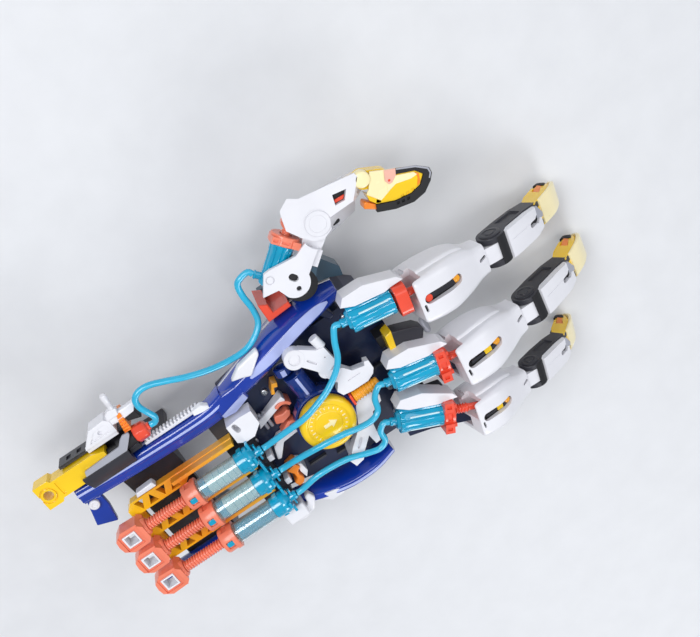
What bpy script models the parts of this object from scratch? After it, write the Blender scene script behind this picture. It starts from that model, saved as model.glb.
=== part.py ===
"""Hydraulic arm kit: a palm chassis on two blue rails carries three fingers and a thumb.

Each digit is bent by a water-filled cylinder, fed through a hose from its own control syringe.
+X runs from forearm to fingertips, +Y to the thumb, +Z up. Sizes are in millimetres.
"""

import math

import bmesh
import bpy
from mathutils import Matrix, Vector

MM = 0.001
GAP = 0.3                 # clearance between touching pieces
SIDES = 20                # facets round a cylinder

# heights
DECK_TOP = 46.0           # top of the palm chassis deck
DECK_THICK = 7.0
FOOT_THICK = 4.0
RAIL_Z = 55.0             # centre line of the two rails
CONTROL_Z = 68.0          # axes of the control syringes
KNOB_TOP = 74.0

# plan positions
KNOB_X, KNOB_Y, KNOB_R = 2.5, 10.5, 17.0
CROSSBAR_X = (-58.0, -41.0)
CONTROL_ROWS = {"index": 18.5, "middle": 0.0, "ring": -19.5}
CONTROL_CAP_X = -45.0
GUIDE_BACK = -124.0       # rear end of the truss strips beside the syringes
BARREL_R = 6.5
COLLAR_R = 7.8
HOSE_R = 1.9
CYLINDER_R = 8.0
ROD_R = 2.8
ROD_BORE_R = 3.4
EYE_PIN_R = 1.8
THUMB_CONTROL_Y = 67.6    # axis of the thumb's control syringe
THUMB_CONTROL_Z = 61.4

FINGERS = {
    "index": dict(knuckle=(90.0, 44.5, 61.0), yaw=-9.0, bend=(9.0, 21.0, 10.0), scale=1.0,
                  cylinder_yaw=-9.0, stroke_out=0.0),
    "middle": dict(knuckle=(91.7, -5.3, 61.0), yaw=-5.0, bend=(10.0, 20.0, 14.0), scale=1.0,
                   cylinder_yaw=-12.0, stroke_out=0.0),
    "ring": dict(knuckle=(81.3, -44.4, 59.0), yaw=-12.0, bend=(14.0, 19.0, 20.0), scale=0.88,
                 cylinder_yaw=-26.0, stroke_out=6.0),
}
PROXIMAL, MIDDLE, TIP = 51.0, 39.0, 35.0
EYE_PIN = (-1.0, 8.0, 15.0)      # rod pin on the proximal shell, from the knuckle
ROD_HEIGHT = 13.8                # rod axis above the knuckle axis

THUMB_BASE = (34.0, 88.4, 56.0)
THUMB_YAW = 40.3
THUMB_LOWER, THUMB_UPPER = 31.7, 36.8
THUMB_BEND, THUMB_TIP_BEND = -26.5, -40.7
THUMB_CYLINDER_Y = 15.0

WHITE = (0.86, 0.86, 0.88)
BLUE = (0.015, 0.08, 0.42)
NAVY = (0.01, 0.03, 0.16)
GREY = (0.05, 0.05, 0.06)
RED = (0.75, 0.06, 0.04)
SALMON = (0.85, 0.25, 0.17)
ORANGE = (0.9, 0.42, 0.05)
YELLOW = (0.92, 0.68, 0.05)
CYAN = (0.02, 0.5, 0.72)
CLEAR = (0.62, 0.82, 0.88)
HOSE_BLUE = (0.12, 0.5, 0.72)
SLATE = (0.08, 0.13, 0.17)


def finish(name, obj, colour, roughness, parent=None):
    """Names the object, gives it its own plastic, and hangs it on its frame."""
    obj.name = name
    obj.data.name = name
    material = bpy.data.materials.new(name)
    material.use_nodes = True
    shader = material.node_tree.nodes["Principled BSDF"]
    shader.inputs["Base Color"].default_value = (*colour, 1.0)
    shader.inputs["Roughness"].default_value = roughness
    shader.inputs["Metallic"].default_value = 0.0
    obj.data.materials.clear()
    obj.data.materials.append(material)
    obj.parent = parent
    return obj


def frame_at(name, place, yaw=0.0, pitch=0.0, parent=None):
    """An empty whose origin lies on a joint's axis; positive pitch tips +X down."""
    empty = bpy.data.objects.new(name, None)
    bpy.context.scene.collection.objects.link(empty)
    empty.empty_display_size = 0.01
    empty.parent = parent
    empty.location = Vector(place) * MM
    empty.rotation_euler = (0.0, math.radians(pitch), math.radians(yaw))
    return empty


def from_bmesh(bm):
    bmesh.ops.recalc_face_normals(bm, faces=bm.faces)
    mesh = bpy.data.meshes.new("work")
    bm.to_mesh(mesh)
    bm.free()
    obj = bpy.data.objects.new("work", mesh)
    bpy.context.scene.collection.objects.link(obj)
    return obj


def prism(outline, low, high, axis="Z"):
    """Extrudes an outline: (x, y) along Z, (x, z) along Y, or (y, z) along X."""
    place = {
        "Z": lambda a, b, c: (a, b, c),
        "Y": lambda a, b, c: (a, c, b),
        "X": lambda a, b, c: (c, a, b),
    }[axis]
    bm = bmesh.new()
    rings = [[bm.verts.new(Vector(place(a, b, c)) * MM) for a, b in outline] for c in (low, high)]
    count = len(outline)
    bm.faces.new(rings[0])
    bm.faces.new(rings[1])
    for i in range(count):
        j = (i + 1) % count
        bm.faces.new((rings[0][i], rings[0][j], rings[1][j], rings[1][i]))
    return from_bmesh(bm)


def tapered(bottom, top, low, high):
    """A solid between two outlines with the same number of points."""
    bm = bmesh.new()
    rings = [[bm.verts.new(Vector((x, y, z)) * MM) for x, y in outline]
             for outline, z in ((bottom, low), (top, high))]
    bm.faces.new(rings[0])
    bm.faces.new(rings[1])
    for i in range(len(top)):
        j = (i + 1) % len(top)
        bm.faces.new((rings[0][i], rings[0][j], rings[1][j]))
        bm.faces.new((rings[0][i], rings[1][j], rings[1][i]))
    return from_bmesh(bm)


def box(x, y, z):
    return prism([(x[0], y[0]), (x[1], y[0]), (x[1], y[1]), (x[0], y[1])], *z)


def arc(cx, cy, radius, start, end, steps):
    """Points on an arc, angles in degrees."""
    angles = [math.radians(start + (end - start) * i / steps) for i in range(steps + 1)]
    return [(cx + radius * math.cos(a), cy + radius * math.sin(a)) for a in angles]


def capsule(a, b, radius_a, radius_b, steps=6):
    """Outline round two circles, from a to b."""
    turn = math.degrees(math.atan2(b[1] - a[1], b[0] - a[0]))
    return (arc(*b, radius_b, turn - 90, turn + 90, steps)
            + arc(*a, radius_a, turn + 90, turn + 270, steps))


def turned(profile, origin=(0, 0, 0), direction=(1, 0, 0), sides=SIDES):
    """A solid of revolution: profile lists (distance along the axis, radius)."""
    turn = Vector((0, 0, 1)).rotation_difference(Vector(direction)).to_matrix().to_4x4()
    place = Matrix.Translation(Vector(origin) * MM) @ turn
    bm = bmesh.new()
    rings = []
    for along, radius in profile:
        ring = []
        for i in range(sides):
            a = 2 * math.pi * i / sides
            point = Vector((radius * math.cos(a), radius * math.sin(a), along))
            ring.append(bm.verts.new(place @ (point * MM)))
        rings.append(ring)
    bm.faces.new(rings[0])
    bm.faces.new(rings[-1])
    for low, high in zip(rings, rings[1:]):
        for i in range(sides):
            j = (i + 1) % sides
            bm.faces.new((low[i], low[j], high[j], high[i]))
    return from_bmesh(bm)


def rod(start, end, radius, sides=SIDES):
    """A plain round bar between two points."""
    along = Vector(end) - Vector(start)
    return turned([(0, radius), (along.length, radius)], start, along, sides)


def rounded(y, z, radius, steps=2):
    """Outline of a rounded rectangle in (y, z)."""
    corners = ((y[1], z[0], -90), (y[1], z[1], 0), (y[0], z[1], 90), (y[0], z[0], 180))
    points = []
    for cy, cz, start in corners:
        inward_y = -radius if cy == y[1] else radius
        inward_z = -radius if cz == z[1] else radius
        points += arc(cy + inward_y, cz + inward_z, radius, start, start + 90, steps)
    return points


def loft(sections, steps=2):
    """Sections are (x, (y0, y1), (z0, z1), corner radius) along X."""
    bm = bmesh.new()
    rings = []
    for x, y, z, radius in sections:
        rings.append([bm.verts.new(Vector((x, a, b)) * MM) for a, b in rounded(y, z, radius, steps)])
    bm.faces.new(rings[0])
    bm.faces.new(rings[-1])
    count = len(rings[0])
    for low, high in zip(rings, rings[1:]):
        for i in range(count):
            j = (i + 1) % count
            bm.faces.new((low[i], low[j], high[j], high[i]))
    return from_bmesh(bm)


def swept(stations, steps=3):
    """A rail: stations are (x, y, z, half width, half height, corner radius)."""
    bm = bmesh.new()
    rings = []
    for index, (x, y, z, half_width, half_height, radius) in enumerate(stations):
        before = stations[max(index - 1, 0)]
        after = stations[min(index + 1, len(stations) - 1)]
        along = Vector((after[0] - before[0], after[1] - before[1], 0)).normalized()
        side = Vector((-along.y, along.x, 0))
        outline = rounded((-half_width, half_width), (-half_height, half_height), radius, steps)
        rings.append([bm.verts.new((Vector((x, y, z + b)) + side * a) * MM) for a, b in outline])
    bm.faces.new(rings[0])
    bm.faces.new(rings[-1])
    count = len(rings[0])
    for low, high in zip(rings, rings[1:]):
        for i in range(count):
            j = (i + 1) % count
            bm.faces.new((low[i], low[j], high[j], high[i]))
    return from_bmesh(bm)


def combine(target, others, operation):
    """Unites the target with, or cuts it by, other solids, which are then used up."""
    for other in others:
        step = target.modifiers.new(operation, "BOOLEAN")
        step.operation = operation
        step.solver = "EXACT"
        step.object = other
    bpy.context.view_layer.update()
    evaluated = target.evaluated_get(bpy.context.evaluated_depsgraph_get())
    target.data = bpy.data.meshes.new_from_object(evaluated)
    target.modifiers.clear()
    for other in others:
        bpy.data.objects.remove(other)
    return target


def cut(target, *cutters):
    return combine(target, cutters, "DIFFERENCE")


def unite(target, *others):
    return combine(target, others, "UNION")


def moved(obj, matrix):
    """Places a solid by changing its mesh."""
    obj.data.transform(matrix)
    return obj


def plan_place(origin, yaw):
    """Moves a solid from a local plan frame to its place."""
    return Matrix.Translation(Vector(origin) * MM) @ Matrix.Rotation(math.radians(yaw), 4, "Z")


def smooth_route(points, count):
    """Even points on a Catmull-Rom curve through the route points."""
    ends = [points[0] * 2 - points[1]] + points + [points[-1] * 2 - points[-2]]
    fine = []
    for before, start, end, after in zip(ends, ends[1:], ends[2:], ends[3:]):
        for step in range(16):
            t = step / 16
            fine.append(0.5 * (2 * start + (end - before) * t
                               + (2 * before - 5 * start + 4 * end - after) * t * t
                               + (3 * start - before - 3 * end + after) * t ** 3))
    fine.append(points[-1])
    lengths = [0.0]
    for a, b in zip(fine, fine[1:]):
        lengths.append(lengths[-1] + (b - a).length)
    result = []
    index = 0
    for i in range(count):
        wanted = lengths[-1] * i / (count - 1)
        while index < len(lengths) - 2 and lengths[index + 1] < wanted:
            index += 1
        share = (wanted - lengths[index]) / (lengths[index + 1] - lengths[index])
        result.append(fine[index].lerp(fine[index + 1], share))
    return result


def hose(name, route, count):
    curve = bpy.data.curves.new(name, "CURVE")
    curve.dimensions = "3D"
    curve.bevel_depth = HOSE_R * MM
    curve.bevel_resolution = 2
    curve.use_fill_caps = True
    spline = curve.splines.new("POLY")
    points = smooth_route([Vector(p) for p in route], count)
    spline.points.add(len(points) - 1)
    for slot, point in zip(spline.points, points):
        slot.co = (*(point * MM), 1.0)
    obj = bpy.data.objects.new(name, curve)
    bpy.context.scene.collection.objects.link(obj)
    return finish(name, obj, HOSE_BLUE, 0.3)


# ---------------------------------------------------------------- frame of the arm

def radial_rail():
    stations = [
        (-140, 52.5, RAIL_Z, 6.0, 5.0, 2.5), (-100, 50.2, RAIL_Z, 6.0, 5.0, 2.5),
        (-56, 49.5, RAIL_Z, 6.2, 5.5, 2.5), (-38, 53.0, RAIL_Z, 7.0, 7.0, 3.5),
        (-16, 58.5, RAIL_Z - 1, 8.5, 10.0, 5.5), (4, 64.5, RAIL_Z - 2, 9.0, 13.0, 7.0),
        (20, 68.6, RAIL_Z - 3, 8.5, 14.0, 7.0), (34, 69.8, RAIL_Z - 5, 7.5, 13.0, 6.5),
        (49, 69.0, RAIL_Z - 8, 5.0, 8.5, 4.0),
    ]
    rail = swept(stations)
    rack = prism(tooth_outline(-91.0, -54.5), RAIL_Z - 2.5, RAIL_Z + 2.5)
    finish("radial_rail", rail, BLUE, 0.18)
    finish("rail_rack", rack, WHITE, 0.4)


def tooth_outline(start, end, pitch=2.4, depth=1.7):
    """A rack with its straight back against the rail's outer side."""
    back = 56.5
    points = [(start, back), (end, back)]
    count = int((end - start) / pitch)
    for i in range(count):
        x = end - i * pitch
        points += [(x, back + 1.6 + depth), (x - pitch * 0.5, back + 1.6 + depth),
                   (x - pitch * 0.55, back + 1.6), (x - pitch * 0.95, back + 1.6)]
    points.append((start, back + 1.6))
    return points


def ulnar_rail():
    stations = [
        (-136, -30.5, RAIL_Z - 6, 4.5, 4.5, 2.0), (-60, -30.5, RAIL_Z - 6, 4.5, 4.5, 2.0),
        (-44, -33.5, RAIL_Z - 6, 4.8, 5.5, 2.2), (-26, -39.0, RAIL_Z - 6, 5.2, 8.0, 3.0),
        (-8, -42.6, RAIL_Z - 7, 5.5, 10.0, 3.5), (10, -43.0, RAIL_Z - 8, 5.0, 10.0, 3.0),
        (24, -40.8, RAIL_Z - 9, 4.0, 8.0, 2.5),
    ]
    finish("ulnar_rail", swept(stations), BLUE, 0.18)


DECK_OUTLINE = [(-48, -24), (-48, 40), (-34, 43), (0, 49), (18, 56), (54, 57), (62, 50),
                (62, -46), (42, -46), (34, -34), (0, -34), (-26, -29)]


def palm_chassis():
    deck = prism(DECK_OUTLINE, 0, DECK_TOP)
    hand_way = prism([(-27, FOOT_THICK), (43, FOOT_THICK), (43, 30), (34, DECK_TOP - DECK_THICK),
                      (-18, DECK_TOP - DECK_THICK), (-27, 30)], -60, 70, "X")
    windows = [box((x, x + 26), (-60, 70), (12, 32)) for x in (-40, 12)]
    deck = cut(deck, hand_way, *windows)
    deck = unite(deck, *[knuckle_bracket(name) for name in FINGERS])
    finish("palm_chassis", deck, NAVY, 0.35)


def crossbar():
    bar = box(CROSSBAR_X, (-25.7, 42.9), (DECK_TOP + GAP, 53.5))
    finish("crossbar", bar, GREY, 0.45)


def rail_blocks():
    upper = prism([(-47.4, 29.4), (-43.5, 26.9), (-37, 26.9), (-30.4, 32.3), (-30.2, 42), (-38, 42.6),
                   (-47.3, 41.5)], 53.8, 66)
    lower = box((-53, -39), (-38.5, -28.5), (RAIL_Z + 0.4, 66))
    hole = prism(capsule((-43.2, 39.4), (-42.6, 36.2), 1.5, 1.7), 58, 70)
    finish("thumb_side_block", cut(upper, hole), WHITE, 0.35)
    finish("little_side_block", lower, WHITE, 0.35)


def knob_seat():
    centre = (KNOB_X, KNOB_Y, 0)
    seat = turned([(DECK_TOP + GAP, 15), (56, 15), (58, 18.5), (65.4, 18.5), (65.4, 16), (63, 16)],
                  centre, (0, 0, 1), 28)
    tube = rod((2.2, 20, 56), (0.8, 42.5, 56), 6.6)
    seat = unite(seat, tube)
    finish("knob_seat", seat, NAVY, 0.2)


def tension_knob():
    knob = turned([(63.3, 6), (65.8, 6), (65.8, KNOB_R - 1.5), (67.5, KNOB_R), (72, KNOB_R),
                   (KNOB_TOP, KNOB_R - 2.2), (KNOB_TOP, 12.6), (73, 11.6), (73, 7), (73.8, 6.2)],
                  (0, 0, 0), (0, 0, 1), 32)
    axis = frame_at("knob_axis", (KNOB_X, KNOB_Y, 0))
    finish("tension_knob", knob, YELLOW, 0.22, axis)


def brace_arms():
    """White arms from the shell's boss round the knob, over the deck."""
    low, high = 66.4, 73.0
    arm = prism(capsule((8.2, 54.5), (21, 37), 8.0, 6.5), low, high)
    hook = prism(capsule((21, 37), (37, 33), 6.5, 4.0), low, high - 2)
    arm = unite(arm, hook)
    arm = unite(arm, rod((18, 39, DECK_TOP + GAP), (18, 39, high - 2), 4.5, 12))
    arm = cut(arm, rod((8.2, 54.5, high - 1.5), (8.2, 54.5, high + 2), 4.0),
              prism(capsule((13.5, 48), (17.5, 42.5), 0.9, 0.9, 3), high - 1.5, high + 2))
    lower = prism(capsule((33, 4), (24, -10), 5.5, 4.5), 58, 65)
    lower = unite(lower, prism(capsule((24, -10), (3, -27), 4.5, 5.5), 57, 64))
    lower = unite(lower, rod((4, -26, DECK_TOP + GAP), (4, -26, 63), 4.0, 12))
    lower = cut(lower, prism(capsule((16, -16.5), (11, -20.5), 1.0, 1.0, 3), 62, 68))
    base = [prism(capsule(a, b, 3.5, 3.5), DECK_TOP + GAP, DECK_TOP + 3.5)
            for a, b in (((18, 39), (27, 14)), ((27, 14), (24, -10)), ((24, -10), (4, -26)))]
    finish("brace_arms", unite(arm, lower, *base), WHITE, 0.3)


# ---------------------------------------------------------------- controls at the wrist

def control_syringes():
    """Three syringes side by side, each with its own hose port and a collar round its rod."""
    cap = CONTROL_CAP_X
    for name, row in CONTROL_ROWS.items():
        body = turned([(cap + 7, 2.4), (cap + 2, 2.4), (cap + 2, 5), (cap, COLLAR_R), (cap - 3, COLLAR_R),
                       (cap - 3, BARREL_R), (-82, BARREL_R), (-82, COLLAR_R), (-90, COLLAR_R)],
                      (0, row, CONTROL_Z))
        bore = rod((CONTROL_CAP_X - 6, row, CONTROL_Z), (-95, row, CONTROL_Z), 5.0)
        finish(f"{name}_control_barrel", cut(body, bore), CLEAR, 0.12)


def control_rods():
    """Ribbed rods, each drawn by a ring at its end; they slide along the barrels."""
    for name, row in CONTROL_ROWS.items():
        shaft = turned([(-80, 4.6), (-84, 4.6), (-84, 3.6), (-120, 3.6)])
        ring = prism([(-119, -5.5), (-123, -8), (-134, -8), (-137, -5), (-137, 5), (-134, 8),
                      (-123, 8), (-119, 5.5)], -6.5, 6.5)
        hole = rod((-128.5, 0, -9), (-128.5, 0, 9), 4.6)
        slide = frame_at(f"{name}_control_slide", (0, row, CONTROL_Z))
        finish(f"{name}_control_rod", cut(unite(shaft, ring), hole), SALMON, 0.35, slide)


def finger_guides():
    """Truss strips beside the syringes, each with a ridge between the barrels."""
    low = 53.8
    strips = []
    for row, front, bar, far_side in ((30.4, -50.0, 1.6, 1.6), (9.25, -47.0, 2.4, 4.6), (-10.0, -47.0, 2.4, 4.6)):
        near_side = 9.2 - far_side
        strip = prism([(GUIDE_BACK, row - near_side), (-87, row - near_side), (-80, row - bar), (front, row - bar),
                       (front, row + bar), (-80, row + bar), (-87, row + far_side),
                       (GUIDE_BACK + 4, row + far_side), (GUIDE_BACK, row + far_side - 4)], low, low + 6)
        strip = unite(strip, box((-92, front), (row - 1.1, row + 1.1), (low + 5, 66)))
        low_edge, high_edge = row - near_side + 1.4, row + far_side - 1.4
        holes = []
        for i in range(4):
            x = GUIDE_BACK + 5.5 + i * 7.6
            base, point = (low_edge, high_edge) if i % 2 else (high_edge, low_edge)
            holes.append(prism([(x, base), (x + 6, base), (x + 3, point)], low - 2, low + 8))
        strips.append(cut(strip, *holes))
    tie = box((GUIDE_BACK, GUIDE_BACK + 6), (-14, 28), (low - 3, low))
    finish("finger_guides", unite(tie, *strips), ORANGE, 0.4)


def thumb_control():
    """A tray on the outer side of the rail holds the thumb's syringe and a lever beside it."""
    y, z = THUMB_CONTROL_Y, THUMB_CONTROL_Z
    tray = box((-136, -92), (y - 8.9, y + 8.9), (z - 10.9, z - 0.4))
    tray = cut(tray, box((-138, -94.5), (y - 7, y + 7), (z - 7.9, z + 4)),
               rod((-97, y, z), (-88, y, z), BARREL_R + 0.5))
    side = prism([(-118, 75.5), (-116.4, 78.5), (-109.1, 85.8), (-99, 86.4), (-96.5, 84), (-96.5, 75.5)],
                 z - 9, z + 3)
    arm = prism([(-99, 80.5), (-82, 83), (-82, 86), (-99, 86)], z - 3, z + 2)
    heel = prism([(-91, 75.2), (-83, 75.2), (-82.5, 80.8), (-85, 84), (-91, 84)], z - 9, z + 1)
    lever = unite(prism([(-97, 84.5), (-90, 84.5), (-89, 88.6), (-93.8, 89.6), (-96.5, 88)], z - 3, z + 3),
                  rod((-91.5, 87, z + 1), (-89.5, 100.5, z + 4), 1.7, 12))
    tray = unite(tray, side, arm, heel, lever)
    finish("thumb_control_tray", tray, GREY, 0.4)
    barrel = turned([(-81, 2.4), (-86, 2.4), (-86, 5), (-88, COLLAR_R - 1), (-90.5, COLLAR_R - 1),
                     (-90.5, BARREL_R), (-120, BARREL_R)], (0, y, z))
    barrel = cut(barrel, rod((-96, y, z), (-130, y, z), 5.0))
    finish("thumb_control_barrel", barrel, CLEAR, 0.12)
    shaft = turned([(-116, 4.6), (-120, 4.6), (-120, 3.4), (-130, 3.4)])
    block = prism([(-127.5, -6.2), (-143.5, -6.2), (-143.5, -8), (-154, -8), (-154, 8), (-143.5, 8),
                   (-143.5, 6.2), (-127.5, 6.2)], -5.5, 4.5)
    hole = rod((-149, 0, -9), (-149, 0, 9), 3.0)
    slide = frame_at("thumb_control_slide", (0, y, z))
    finish("thumb_control_rod", cut(unite(shaft, block), hole), YELLOW, 0.35, slide)


def arm_cuff():
    """A strap bridge over the forearm that slides along the rails."""
    outer = [(-36.5, 0), (-36.5, 22), (-35, 44.2), (24, 44.2), (43, RAIL_Z - 5 - GAP),
             (57, RAIL_Z - 5 - GAP), (57, 44), (46, 36), (46, 0)]
    inner = [(41, 0), (41, 27), (36, 35), (22, 39), (-18, 39), (-28, 33), (-31.5, 22), (-31.5, 0)]
    band = prism(outer + inner, -118, -84, "X")
    axis = frame_at("cuff_slide", (0, 0, 0))
    finish("arm_cuff", band, GREY, 0.5, axis)


# ---------------------------------------------------------------- fingers

def finger_frames(name):
    """Empties on the knuckle, middle and tip axes; returns them with the link lengths."""
    spec = FINGERS[name]
    s = spec["scale"]
    knuckle = frame_at(f"{name}_knuckle_axis", spec["knuckle"], spec["yaw"], spec["bend"][0])
    middle = frame_at(f"{name}_middle_axis", (PROXIMAL * s, 0, 0), 0, spec["bend"][1], knuckle)
    tip = frame_at(f"{name}_tip_axis", (MIDDLE * s, 0, 0), 0, spec["bend"][2], middle)
    return knuckle, middle, tip


def proximal_shell(name, parent, s):
    shell = loft([
        (-9, (-11, 13.5), (-9.5, 16.5), 4), (-4, (-12.5, 15.5), (-11, 18.5), 5),
        (8, (-12.8, 16.5), (-11.5, 19), 5.5), (20, (-12, 15.5), (-10.5, 16), 5),
        (32, (-10.5, 11), (-9, 11.5), 4), (37, (-9.3, 9.3), (-8.5, 9.5), 3),
        (41, (-9.2, 9.2), (-8.3, 8.5), 2.5),
    ])
    tongue = prism(capsule((38, 0), (PROXIMAL, 0), 7.5, 7.5), -5.2, 5.2, "Y")
    shell = unite(shell, tongue)
    rod_notch = box((-16, 14), (2.9, 12.9), (3.2, 30))
    rod_way = box((-16, -4.0), (6, 24), (3.2, 30))
    tongue_slot = box((-16, 10), (-7.1, 1.1), (-16, 9))
    cavity = box((13, 36), (-8, 6), (-16, 5.5))
    window = prism(capsule((17, -5.5), (31, -1.5), 3.2, 3.2), 0, 30)
    knuckle_hole = rod((0, -11.3, 0), (0, 2.3, 0), 2.8)
    far_end = arc(PROXIMAL, 0, 9.2, 90, 270, 12) + [(PROXIMAL + 14, -12), (PROXIMAL + 14, 12)]
    end_cuts = [prism(far_end, low, high, "Y") for low, high in ((5.2, 14), (-14, -5.2))]
    shell = cut(shell, rod_notch, rod_way, tongue_slot, cavity, window, knuckle_hole, *end_cuts)
    pin = rod((EYE_PIN[0], 2.0, EYE_PIN[2]), (EYE_PIN[0], 13.5, EYE_PIN[2]), EYE_PIN_R, 12)
    middle_pin = rod((PROXIMAL, -8, 0), (PROXIMAL, 8, 0), 2.5)
    shell = unite(shell, pin, middle_pin)
    finish(f"{name}_proximal_shell", moved(shell, Matrix.Scale(s, 4)), WHITE, 0.28, parent)


def curl_link(name, parent, s):
    bar = prism(capsule((17, 0), (32, 0), 3.6, 3.0), -4, 2, "Y")
    bar = unite(bar, rod((17, -7.7, 0), (17, 5.7, 0), 2.2, 12), rod((32, -7.7, 0), (32, 5.7, 0), 2.2, 12))
    finish(f"{name}_curl_link", moved(bar, Matrix.Scale(s, 4)), GREY, 0.35, parent)


def middle_frame(name, parent, s):
    outline = (arc(0, 0, 8.5, 65, 270, 12) + [(12, -8.5), (30, -7.0)]
               + arc(MIDDLE, 0, 5.8, 280, 420, 8) + [(32, 5.2), (9.5, 5.2)])
    frame = prism(outline, -9.3, 9.3, "Y")
    base_slot = box((-14, 8.8), (-5.5, 5.5), (-14, 14))
    tip_slot = box((MIDDLE - 8.5, MIDDLE + 12), (-4.5, 4.5), (-14, 14))
    side_trim = [prism([(24, a * 9.6), (50, a * 7.4), (50, a * 14), (24, a * 14)], -14, 14)
                 for a in (1, -1)]
    pin_hole = rod((0, -8.3, 0), (0, 8.3, 0), 2.8)
    tip_hole = rod((MIDDLE, -6.9, 0), (MIDDLE, 6.9, 0), 2.3)
    frame = cut(frame, base_slot, tip_slot, *side_trim, pin_hole, tip_hole)
    finish(f"{name}_middle_frame", moved(frame, Matrix.Scale(s, 4)), GREY, 0.35, parent)


def middle_cover(name, parent, s):
    cover = prism([(10, -8.9), (26, -8.7), (39, -7.4), (39, 7.4), (26, 8.7), (10, 8.9)], 5.5, 9.6)
    slope = prism([(7, 12), (7, 7.4), (22, 9.7), (39.5, 7.2), (39.5, 12)], -12, 12, "Y")
    keyhole = prism(capsule((28, -1), (33.5, -1), 1.5, 2.3, 4), 4, 12)
    cover = cut(cover, slope, keyhole)
    finish(f"{name}_middle_cover", moved(cover, Matrix.Scale(s, 4)), WHITE, 0.28, parent)


def finger_tip(name, parent, s):
    tongue = prism(capsule((0, 0), (10, -0.5), 5.2, 5.2), -4.2, 4.2, "Y")
    outline = [(7.5, -7), (7.5, 5.5), (20, 5.8), (28, 3.5), (33, -1), (TIP, -6.5), (33.5, -8.5), (20, -8)]
    body = prism(outline, -7.6, 7.6, "Y")
    sides = [prism([(18, a * 7.9), (30, a * 6.4), (36, a * 3.4), (36, a * 12), (18, a * 12)], -14, 14)
             for a in (1, -1)]
    body = unite(cut(body, *sides), tongue, rod((0, -6.6, 0), (0, 6.6, 0), 2.0, 16))
    pocket = box((17, 31.5), (-3.3, 3.3), (-12, -6.2))
    finish(f"{name}_tip", moved(cut(body, pocket), Matrix.Scale(s, 4)), YELLOW, 0.3, parent)


def rod_pin_place(name):
    """Where the rod's pin stands at rest, with the rod's axis height."""
    spec = FINGERS[name]
    s = spec["scale"]
    bend = math.radians(spec["bend"][0])
    yaw = math.radians(spec["yaw"])
    x, y, z = (value * s for value in EYE_PIN)
    ahead = x * math.cos(bend) + z * math.sin(bend)
    kx, ky, kz = spec["knuckle"]
    return (kx + ahead * math.cos(yaw) - y * math.sin(yaw),
            ky + ahead * math.sin(yaw) + y * math.cos(yaw), kz + ROD_HEIGHT * s)


def finger_cylinder(name):
    """Barrel, collar and rod along the cylinder's own direction; its frame is at the rod's eye."""
    spec = FINGERS[name]
    place = plan_place(rod_pin_place(name), spec["cylinder_yaw"])
    collar_x = -13.0 - spec["stroke_out"]
    barrel = turned([(collar_x - 40, 2.4), (collar_x - 35, 2.4), (collar_x - 35, 5),
                     (collar_x - 33, CYLINDER_R), (collar_x - 8.3, CYLINDER_R)])
    barrel = cut(barrel, rod((collar_x - 20, 0, 0), (collar_x - 6, 0, 0), ROD_BORE_R))
    finish(f"{name}_cylinder_barrel", moved(barrel, place), CYAN, 0.15)
    collar = turned([(collar_x - 8, 9.2), (collar_x, 9.2)])
    blocks = [box((collar_x - 7, collar_x + 1.5), (a - 2.5, a + 2.5), (-4, 10.5)) for a in (-6.5, 6.5)]
    collar = unite(collar, *blocks)
    collar = cut(collar, rod((collar_x - 10, 0, 0), (collar_x + 4, 0, 0), ROD_BORE_R))
    finish(f"{name}_cylinder_collar", moved(collar, place), RED, 0.3)
    slide = frame_at(f"{name}_rod_slide", rod_pin_place(name), spec["cylinder_yaw"])
    shaft = turned([(collar_x - 8, ROD_R), (-4.0, ROD_R)], sides=16)
    s = spec["scale"]
    eye = prism(capsule((0, -2.2), (0, 2.2), 4.6 * s, 4.6 * s), -2 * s, 2 * s, "Y")
    slot = prism(capsule((0, -2.2), (0, 2.2), 2.6, 2.6), -4, 4, "Y")
    piece = cut(unite(shaft, eye), slot)
    finish(f"{name}_cylinder_rod", piece, RED, 0.3, slide)
    return collar_x


def cylinder_cradle(name, collar_x):
    """A support under the barrel and a white wedge along its thumb side."""
    spec = FINGERS[name]
    px, py, pz = rod_pin_place(name)
    place = plan_place((px, py, 0), spec["cylinder_yaw"])
    back = collar_x - 35
    under = box((back + 4, back + 19), (-7, 2), (DECK_TOP + GAP, pz - CYLINDER_R - GAP))
    wedge = prism([(back - 2, 11), (back + 6, 8.6), (collar_x - 11, 8.6), (collar_x - 7, 9.8),
                   (collar_x + 1, 11), (collar_x - 2, 14), (back + 14, 18), (back + 1, 16)], pz - 7, pz + 6)
    bridge = box((back + 8, back + 17), (-3, 12), (pz - 12, pz - CYLINDER_R - GAP))
    riser = box((back + 8, back + 17), (8.9, 12), (pz - 12, pz - 5))
    return moved(unite(under, bridge, riser, wedge), place)


def knuckle_bracket(name):
    """A tongue on the deck with the knuckle pin through it."""
    spec = FINGERS[name]
    s = spec["scale"]
    kx, ky, kz = spec["knuckle"]
    foot = DECK_TOP - 1.7 - kz
    outline = ([(-44, foot), (-28, foot), (-6, -6.0)] + arc(0, 0, 6.0 * s, -90, 100, 8)
               + [(-30, foot + 9), (-44, foot + 7)])
    tongue = prism(outline, -6.8 * s, 0.8 * s, "Y")
    pin = rod((0, -10.9 * s, 0), (0, 2.0 * s, 0), 2.5 * s)
    return moved(unite(tongue, pin), plan_place(spec["knuckle"], spec["yaw"]))


def fingers():
    for name, spec in FINGERS.items():
        s = spec["scale"]
        knuckle, middle, tip = finger_frames(name)
        proximal_shell(name, knuckle, s)
        curl_link(name, knuckle, s)
        middle_frame(name, middle, s)
        middle_cover(name, middle, s)
        finger_tip(name, tip, s)
        collar_x = finger_cylinder(name)
        finish(f"{name}_cylinder_cradle", cylinder_cradle(name, collar_x), WHITE, 0.3)


# ---------------------------------------------------------------- thumb

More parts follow.
